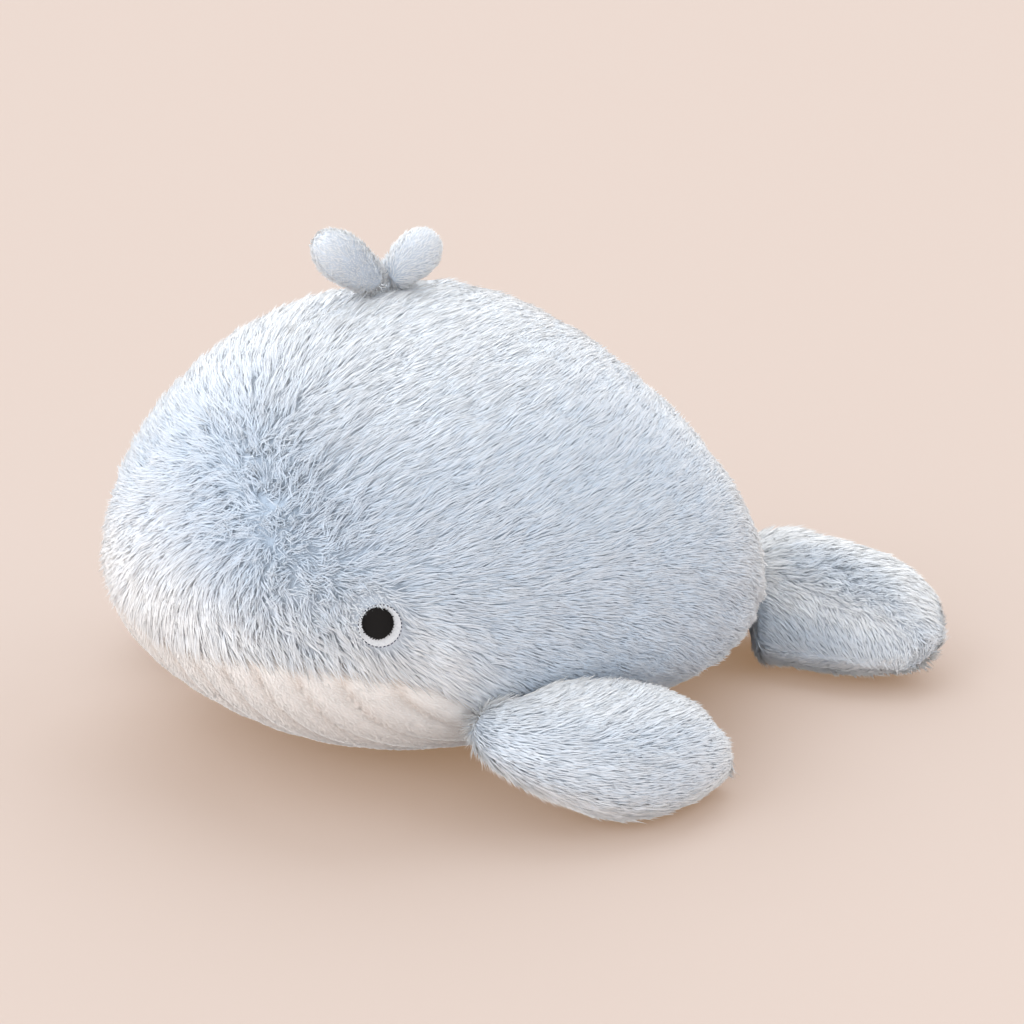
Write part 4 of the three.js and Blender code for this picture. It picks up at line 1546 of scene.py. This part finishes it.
class StitchTree:
    """Geometry nodes that lay threads on a disc, in a ring or side by side."""

    def __init__(self, ring: bool) -> None:
        """Build the tree.

        Args:
            ring: Whether the threads follow the disc's edge, or else lie across it.
        """
        self.tree = bpy.data.node_groups.new("stitches", "GeometryNodeTree")
        self.keys: dict[str, str] = {}
        graph = Graph(self.tree)
        for name, kind in (
            ("Disc", "Geometry"), ("Count", "Int"), ("Radius", "Float"), ("Length", "Float"),
            ("Width", "Float"), ("Height", "Float"), ("Direction", "Float"), ("Uneven", "Float"),
            ("Seed", "Int"), ("Thread", "Material"),
        ):
            socket = self.tree.interface.new_socket(
                name=name, in_out="INPUT", socket_type="NodeSocket" + kind)
            self.keys[name] = socket.identifier
        self.tree.interface.new_socket(name="Piece", in_out="OUTPUT", socket_type="NodeSocketGeometry")
        source = graph.add("NodeGroupInput").outputs
        index = graph.add("GeometryNodeInputIndex").outputs[0]
        part = graph.sum("DIVIDE", graph.sum("ADD", index, 0.5), source["Count"])
        uneven = graph.add(
            "FunctionNodeRandomValue", {"data_type": "FLOAT"}, Min=-1.0, Max=1.0, Seed=source["Seed"],
        )
        extra = graph.sum("MULTIPLY", Graph.socket(uneven.outputs, "Value"), source["Uneven"])
        if ring:
            angle = graph.sum("MULTIPLY", part, 2 * math.pi)
            x = graph.sum("MULTIPLY", graph.sum("COSINE", angle), source["Radius"])
            y = graph.sum("MULTIPLY", graph.sum("SINE", angle), source["Radius"])
            turn = graph.sum("ADD", angle, graph.sum("ADD", math.pi / 2, source["Direction"]))
            half = graph.sum("ADD", source["Length"], extra)
        else:
            offset = graph.sum("MULTIPLY", graph.sum("MULTIPLY_ADD", part, 2.0, -1.0), source["Radius"])
            x = graph.sum("MULTIPLY", offset, graph.sum("SINE", source["Direction"]))
            back = graph.sum("MULTIPLY", offset, graph.sum("COSINE", source["Direction"]))
            y = graph.sum("MULTIPLY", back, -1.0)
            turn = source["Direction"]
            square = graph.sum("SUBTRACT", graph.sum("MULTIPLY", source["Radius"], source["Radius"]),
                               graph.sum("MULTIPLY", offset, offset))
            half = graph.sum("ADD", graph.sum("SQRT", graph.sum("MAXIMUM", square, 1e-8)), extra)
            half = graph.sum("ADD", half, source["Length"])
        place = graph.add("ShaderNodeCombineXYZ", X=x, Y=y, Z=source["Height"])
        points = graph.add(
            "GeometryNodePoints", Count=source["Count"], Position=place.outputs[0], Radius=0.001,
        )
        ball = graph.add("GeometryNodeMeshUVSphere", Segments=8, Rings=4, Radius=1.0)
        spot = graph.add("GeometryNodeInputPosition").outputs[0]
        corner = graph.add("ShaderNodeSeparateXYZ", Vector=spot)
        blunt = graph.sum("MULTIPLY", graph.sum("SIGN", corner.outputs["X"]), graph.sum(
            "POWER", graph.sum("ABSOLUTE", corner.outputs["X"]), 0.35))
        stretched = graph.add(
            "ShaderNodeCombineXYZ", X=blunt, Y=corner.outputs["Y"], Z=corner.outputs["Z"],
        )
        thread = graph.add(
            "GeometryNodeSetPosition", Geometry=ball.outputs["Mesh"], Position=stretched.outputs[0],
        )
        turned = graph.add("ShaderNodeCombineXYZ", Z=turn)
        rotation = graph.add("FunctionNodeEulerToRotation", Euler=turned.outputs[0])
        flat = graph.sum("MULTIPLY", source["Width"], 0.8)
        size = graph.add("ShaderNodeCombineXYZ", X=half, Y=source["Width"], Z=flat)
        laid = graph.add(
            "GeometryNodeInstanceOnPoints", Points=points.outputs[0], Instance=thread.outputs[0],
            Rotation=rotation.outputs[0], Scale=size.outputs[0],
        )
        real = graph.add("GeometryNodeRealizeInstances", Geometry=laid.outputs[0])
        sewn = graph.add("GeometryNodeSetMaterial", Geometry=real.outputs[0], Material=source["Thread"])
        soft = graph.add("GeometryNodeSetShadeSmooth", Geometry=sewn.outputs[0])
        whole = graph.add("GeometryNodeJoinGeometry")
        self.tree.links.new(soft.outputs[0], whole.inputs[0])
        self.tree.links.new(source["Disc"], whole.inputs[0])
        graph.add("NodeGroupOutput", Piece=whole.outputs[0])

    def sew(self, name: str, mesh: bpy.types.Mesh, values: dict[str, object]) -> bpy.types.Object:
        """Sew threads on a disc's mesh and keep the result."""
        return run_tree(name, mesh, self.tree, self.keys, values)


@dataclass
class Eye:
    """A felt disc with an edge of stitches, and a satin-stitched pupil on it."""

    form: BodyForm = field(default_factory=BodyForm)
    seat: tuple = (-0.69, 7.0)
    diameter: float = 0.0172
    thickness: float = 0.0014
    proud: float = 0.0006
    pupil_diameter: float = 0.0132
    pupil_thickness: float = 0.0010
    pupil_forward: float = 0.0009
    pupil_up: float = 0.0013
    seam_gap: float = 0.0003
    edge_stitches: int = 34
    edge_length: float = 0.00050
    edge_width: float = 0.00022
    edge_sunk: float = 0.00006
    edge_slant: float = 0.10
    edge_uneven: float = 0.00012
    base_trim: float = 0.0009
    satin_stitches: int = 34
    satin_trim: float = 0.0004
    satin_length: float = -0.0001
    satin_width: float = 0.00028
    satin_slant: float = 8.0
    satin_uneven: float = 0.00030
    rim_stitches: int = 36
    rim_trim: float = 0.0007
    rim_length: float = 0.00062
    rim_width: float = 0.00030
    rim_slant: float = math.pi / 2 - 0.5
    rim_uneven: float = 0.00038

    def matrix(self, height: float, forward: float, up: float, side: Side) -> Matrix:
        """Place of a disc on the body.

        Args:
            height: How far its underside stands above the body's outline.
            forward: Shift towards the nose.
            up: Shift upward.
            side: Which eye.

        Returns:
            The matrix whose Z leaves the body and whose Y points up.
        """
        along, around = self.seat[0], math.radians(self.seat[1])
        normal = self.form.normal(along, around)
        sideways = unit(np.cross(UP, normal))
        upward = np.cross(normal, sideways)
        centre = self.form.point(along, around) + normal * height - sideways * forward + upward * up
        turn = np.eye(4)
        turn[:3, 0], turn[:3, 1], turn[:3, 2], turn[:3, 3] = sideways, upward, normal, centre
        if side is Side.RIGHT:
            turn = np.diag([-1.0, 1.0, 1.0, 1.0]) @ turn @ np.diag([-1.0, 1.0, 1.0, 1.0])
        return Matrix(turn.tolist())

    @property
    def centre(self) -> np.ndarray:
        """Middle of the left eye on the body's outline."""
        return self.form.point(self.seat[0], math.radians(self.seat[1]))

    def disc(self, name: str, diameter: float, thickness: float, dome: float) -> bpy.types.Mesh:
        """A round disc with a soft edge, standing on its back.

        Args:
            name: Name of the mesh.
            diameter: Its diameter.
            thickness: Its thickness at the edge.
            dome: How much its middle stands above that.

        Returns:
            The mesh.
        """
        radius, edge = diameter / 2, thickness * 0.45
        profile = [(radius - edge, 0.0), (radius, edge)]
        for step in range(1, 6):
            angle = math.pi / 2 * step / 5
            out, up = edge * math.cos(angle), edge * math.sin(angle)
            profile.append((radius - edge + out, thickness - edge + up))
        profile += [((radius - edge) * s, thickness + dome * (1 - s * s)) for s in (0.85, 0.6, 0.3)]
        count = 64
        turn = 2 * np.pi * np.arange(count) / count
        rings = np.array([
            np.stack([r * np.cos(turn), r * np.sin(turn), np.full(count, z)], -1) for r, z in profile
        ])
        surface = loft(rings, True, np.zeros(3), np.array([0, 0, thickness + dome]))
        return to_mesh(name, surface.facing_from(np.array([0, 0, thickness / 2])))

    def build(self, shop: "Workshop") -> None:
        """Make both eyes.

        Args:
            shop: Finishes and tools.
        """
        for side in Side:
            word = side.name.lower()
            felt = self.disc("felt", self.diameter, self.thickness, 0.0001)
            felt.materials.append(shop.felt)
            piece = shop.edge_tree.sew(f"eye_felt_{word}", felt, {
                "Count": self.edge_stitches, "Radius": self.diameter / 2 - self.edge_width,
                "Length": self.edge_length, "Width": self.edge_width,
                "Height": self.thickness - self.edge_sunk, "Direction": self.edge_slant,
                "Uneven": self.edge_uneven, "Seed": 31, "Thread": shop.navy,
            })
            piece.data.transform(self.matrix(self.proud - self.thickness, 0, 0, side))
            shop.hard(piece, "body", "pale_felt", f"eye_{word}_disc")
            base_width = self.pupil_diameter - self.base_trim
            base = self.disc("pupil", base_width, self.pupil_thickness * 0.55, 0.0001)
            base.materials.append(shop.black)
            satin = shop.satin_tree.sew("satin", base, {
                "Count": self.satin_stitches, "Radius": self.pupil_diameter / 2 - self.satin_trim,
                "Length": self.satin_length, "Width": self.satin_width,
                "Height": self.pupil_thickness * 0.62,
                "Direction": math.radians(self.satin_slant) * side.value,
                "Uneven": self.satin_uneven, "Seed": 37, "Thread": shop.black,
            })
            across = satin.data
            bpy.data.objects.remove(satin)
            piece = shop.edge_tree.sew(f"eye_satin_{word}", across, {
                "Count": self.rim_stitches, "Radius": self.pupil_diameter / 2 - self.rim_trim,
                "Length": self.rim_length, "Width": self.rim_width,
                "Height": self.pupil_thickness * 0.55, "Direction": self.rim_slant,
                "Uneven": self.rim_uneven, "Seed": 43, "Thread": shop.black,
            })
            shift = self.matrix(self.proud + self.seam_gap, self.pupil_forward, self.pupil_up, side)
            piece.data.transform(shift)
            shop.hard(piece, "body", "black_thread", f"eye_{word}_pupil")


# Workshop and studio

class Workshop:
    """The finishes and node trees that the pieces share, and the last steps of each piece."""

    def __init__(self) -> None:
        """Build the finishes and trees."""
        self.blue = PileFinish(
            "blue_fur",
            deep=(linear(183, 201, 221), linear(201, 217, 235), linear(224, 234, 247)),
            pale=(linear(229, 236, 245), linear(242, 246, 251), linear(253, 254, 254)),
        ).build()
        self.cream = PileFinish(
            "cream_pile",
            deep=(linear(223, 211, 202), linear(237, 228, 221), linear(246, 240, 236)),
            pale=(linear(250, 247, 245), linear(253, 252, 251), linear(254, 254, 254)),
        ).build()
        self.velvet = PileFinish(
            "spout_pile",
            deep=(linear(186, 205, 228), linear(214, 227, 242), linear(236, 243, 251)),
            pale=(linear(216, 226, 238), linear(238, 243, 249), linear(252, 253, 254)),
        ).build()
        self.fibre = FibreFinish(
            "stuffing", linear(246, 246, 244), linear(222, 222, 220), 0.0016, 0.0008,
        ).build()
        self.felt = FibreFinish(
            "pale_felt", linear(222, 226, 230), linear(196, 202, 210), 0.0005, 0.0002,
        ).build()
        self.black = ThreadFinish("black_thread", linear(5, 5, 6), linear(26, 26, 28)).build()
        self.navy = ThreadFinish("navy_thread", linear(26, 34, 62), linear(52, 62, 96)).build()
        self.pile_tree = PileTree()
        self.edge_tree = StitchTree(ring=True)
        self.satin_tree = StitchTree(ring=False)

    def hard(self, piece: bpy.types.Object, body: str | None, slot: str, *nodes: str) -> None:
        """Fasten a firm piece to its body and log it.

        Args:
            piece: The piece.
            body: The body that it moves with, or None where it already bends between two.
            slot: Its material slot in the record. Not used.
            nodes: The nodes that it stands for.
        """
        if body:
            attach(piece, body)
        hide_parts(*nodes)
        log.info("%s for %s: %d faces", piece.name, ", ".join(nodes), len(piece.data.polygons))

    def soft(self, piece: bpy.types.Object, body: str | None, slot: str, fill: float,
             *nodes: str) -> None:
        """Fasten a stuffed piece.

        Args:
            piece: The piece.
            body: The body that it moves with, or None where it already bends between two.
            slot: Its material slot in the record. Not used.
            fill: From 0, slack, to 1, tight. Not used.
            nodes: The nodes that it stands for.
        """
        self.hard(piece, body, slot, *nodes)

    def stuff(self, name: str, surface: Surface, body: str, node: str) -> None:
        """Make a piece of stuffing.

        Args:
            name: Name of the piece.
            surface: Its closed form.
            body: The body that it moves with.
            node: The node that it stands for.
        """
        piece = to_object(name, to_mesh(name, surface))
        piece.data.materials.append(self.fibre)
        self.soft(piece, body, "stuffing", 0.8, node)


@dataclass
class Studio:
    """A plain pale floor, soft light and the camera.

    Each lamp has a name, a bearing in degrees, a height against its distance and a strength.
    """

    paper: tuple = (0.515, 0.431, 0.387)
    backdrop: tuple = linear(234, 216, 206)
    sky: float = 0.60
    lamps: tuple = (
        ("front", 56.0, 0.26, 0.70), ("left", 322.0, 0.8, 1.15), ("back", 232.0, 1.1, 2.10),
        ("right", 142.0, 0.8, 0.80), ("low", 10.0, 0.22, 1.60),
    )
    lamp_softness: float = 60.0
    floor_radius: float = 14.0
    camera_place: tuple = (0.9736, -0.7208, 0.4801)
    target: tuple = (-0.0008, 0.0405, 0.0786)
    view_angle: float = 19.64

    def build(self) -> None:
        """Make floor, world, lamps and camera."""
        self.add_floor()
        self.add_world()
        for name, bearing, height, strength in self.lamps:
            turn = math.radians(bearing)
            direction = (math.sin(turn), -math.cos(turn), height)
            self.add_lamp(name, direction, strength, self.lamp_softness)
        self.add_camera()
        bpy.context.scene.view_settings.view_transform = "Standard"

    def add_floor(self) -> None:
        """The floor, a wide round sheet of paper."""
        count = 96
        turn = 2 * np.pi * np.arange(count) / count
        radii = (0.5, 2.0, self.floor_radius)
        rings = np.array([
            np.stack([r * np.cos(turn), r * np.sin(turn), np.zeros(count)], -1) for r in radii
        ])
        surface = loft(rings, True, np.zeros(3), None).facing_from(np.array([0, 0, -1.0]))
        floor = to_object("floor", to_mesh("floor", surface))
        floor.data.materials.append(StudioFinish(self.paper, self.backdrop).build())

    def add_world(self) -> None:
        """Even white light from all round, with the backdrop's colour where the camera looks."""
        world = bpy.data.worlds.new("studio")
        world.use_nodes = True
        graph = Graph(world.node_tree)
        path = graph.add("ShaderNodeLightPath").outputs
        seen = graph.sum("MAXIMUM", path["Is Camera Ray"],
                         graph.sum("MAXIMUM", path["Is Glossy Ray"], path["Is Transmission Ray"]))
        light = graph.add("ShaderNodeBackground", Color=(1, 1, 1, 1), Strength=self.sky)
        shown = graph.add("ShaderNodeBackground", Color=(*self.backdrop, 1), Strength=1.0)
        both = graph.add("ShaderNodeMixShader", Fac=seen)
        graph.fill(both.inputs[1], light.outputs[0])
        graph.fill(both.inputs[2], shown.outputs[0])
        graph.add("ShaderNodeOutputWorld", Surface=both.outputs[0])
        bpy.context.scene.world = world

    def add_lamp(self, name: str, direction: tuple, strength: float, softness: float) -> None:
        """A broad sun lamp.

        Args:
            name: Its name.
            direction: Where it stands, seen from the object.
            strength: Its strength.
            softness: Angle that it fills, in degrees.
        """
        data = bpy.data.lights.new(name, "SUN")
        data.energy = strength
        data.angle = math.radians(softness)
        lamp = bpy.data.objects.new(name, data)
        lamp.rotation_euler = Vector(direction).to_track_quat("Z", "Y").to_euler()
        bpy.context.scene.collection.objects.link(lamp)

    def add_camera(self) -> None:
        """The camera, at the photograph's place and angle."""
        data = bpy.data.cameras.new("camera")
        data.angle = math.radians(self.view_angle)
        camera = bpy.data.objects.new("camera", data)
        place, target = Vector(self.camera_place), Vector(self.target)
        camera.location = place
        camera.rotation_euler = (target - place).to_track_quat("-Z", "Y").to_euler()
        bpy.context.scene.collection.objects.link(camera)
        bpy.context.scene.camera = camera


def fins() -> Limb:
    """The fins' sizes."""
    return Limb(
        name="flipper", body="fin", seat=(-0.389, -24.9), span=0.1098, width=0.0648, thickness=0.0479,
        root_radius=0.007, tip_height=0.011, floor_cut=0.0009, heading=4.3, sweep=4.1, widest=0.478,
        landing=0.65, roll=30.7, tip=2.3, fan=0.55, tone=0.44, lift=12.0, mess=0.09,
        band=-0.40, band_width=0.20, ruffle=0.16, collar=0.20,
    )


def flukes() -> Limb:
    """The flukes' sizes."""
    return Limb(
        name="tail_fluke", body="fluke", seat=(0.932, -50.1), span=0.1075, width=0.0855, thickness=0.0446,
        root_radius=0.008, tip_height=0.015, floor_cut=0.0006, heading=87.0, sweep=3.1, widest=0.235,
        landing=0.34, roll=17.0, tip=2.4, fan=0.8, tone=0.26, crown=1.2, lift=12.0, mess=0.07,
        band=0.05, band_width=0.50, ruffle=0.26, collar=0.30,
    )


def spout_lobes() -> tuple[Limb, Limb]:
    """The sizes of the front and rear spout lobes."""
    velvet = Pile(
        spacing=0.00062, width=0.00026, bow=1.0, clump=0.3, clump_size=0.0022,
        wander=0.4, wander_size=0.008, dye_spread=0.20,
    )
    front = Limb(
        name="spout_lobe_front", body="spout_front", seat=(-0.236, 90.0), span=0.038, width=0.0215,
        thickness=0.020, root_radius=0.005, widest=0.6, lean=-52.0, fur_depth=0.0015, cloth=0.0008,
        stuffing_depth=0.0030, fur_length=0.0024, fan=0.0, tone=0.72, lift=40.0, mess=0.15, collar=0.8,
        bend=0.010, fur=velvet,
    )
    # Painted light: the rear lobe's pile is paler than the front lobe's.
    rear = replace(
        front, name="spout_lobe_rear", body="spout_rear", seat=(-0.151, 90.0), span=0.0295, width=0.0205,
        thickness=0.019, root_radius=0.0045, lean=57.0, tone=0.90,
    )
    return front, rear


def main() -> None:
    """Build every piece in order, then the studio."""
    logging.basicConfig(level=logging.INFO, format="%(message)s")
    shop = Workshop()
    eye = Eye()
    Body(eye_centre=eye.centre, limb_roots=(fins().root()[0], flukes().root()[0])).build(shop)
    fins().build_pair(shop, 41)
    flukes().build_pair(shop, 61)
    for number, lobe in enumerate(spout_lobes()):
        lobe.build_middle(shop, 81 + 10 * number)
    eye.build(shop)
    Studio().build()


if __name__ == "__main__":
    main()
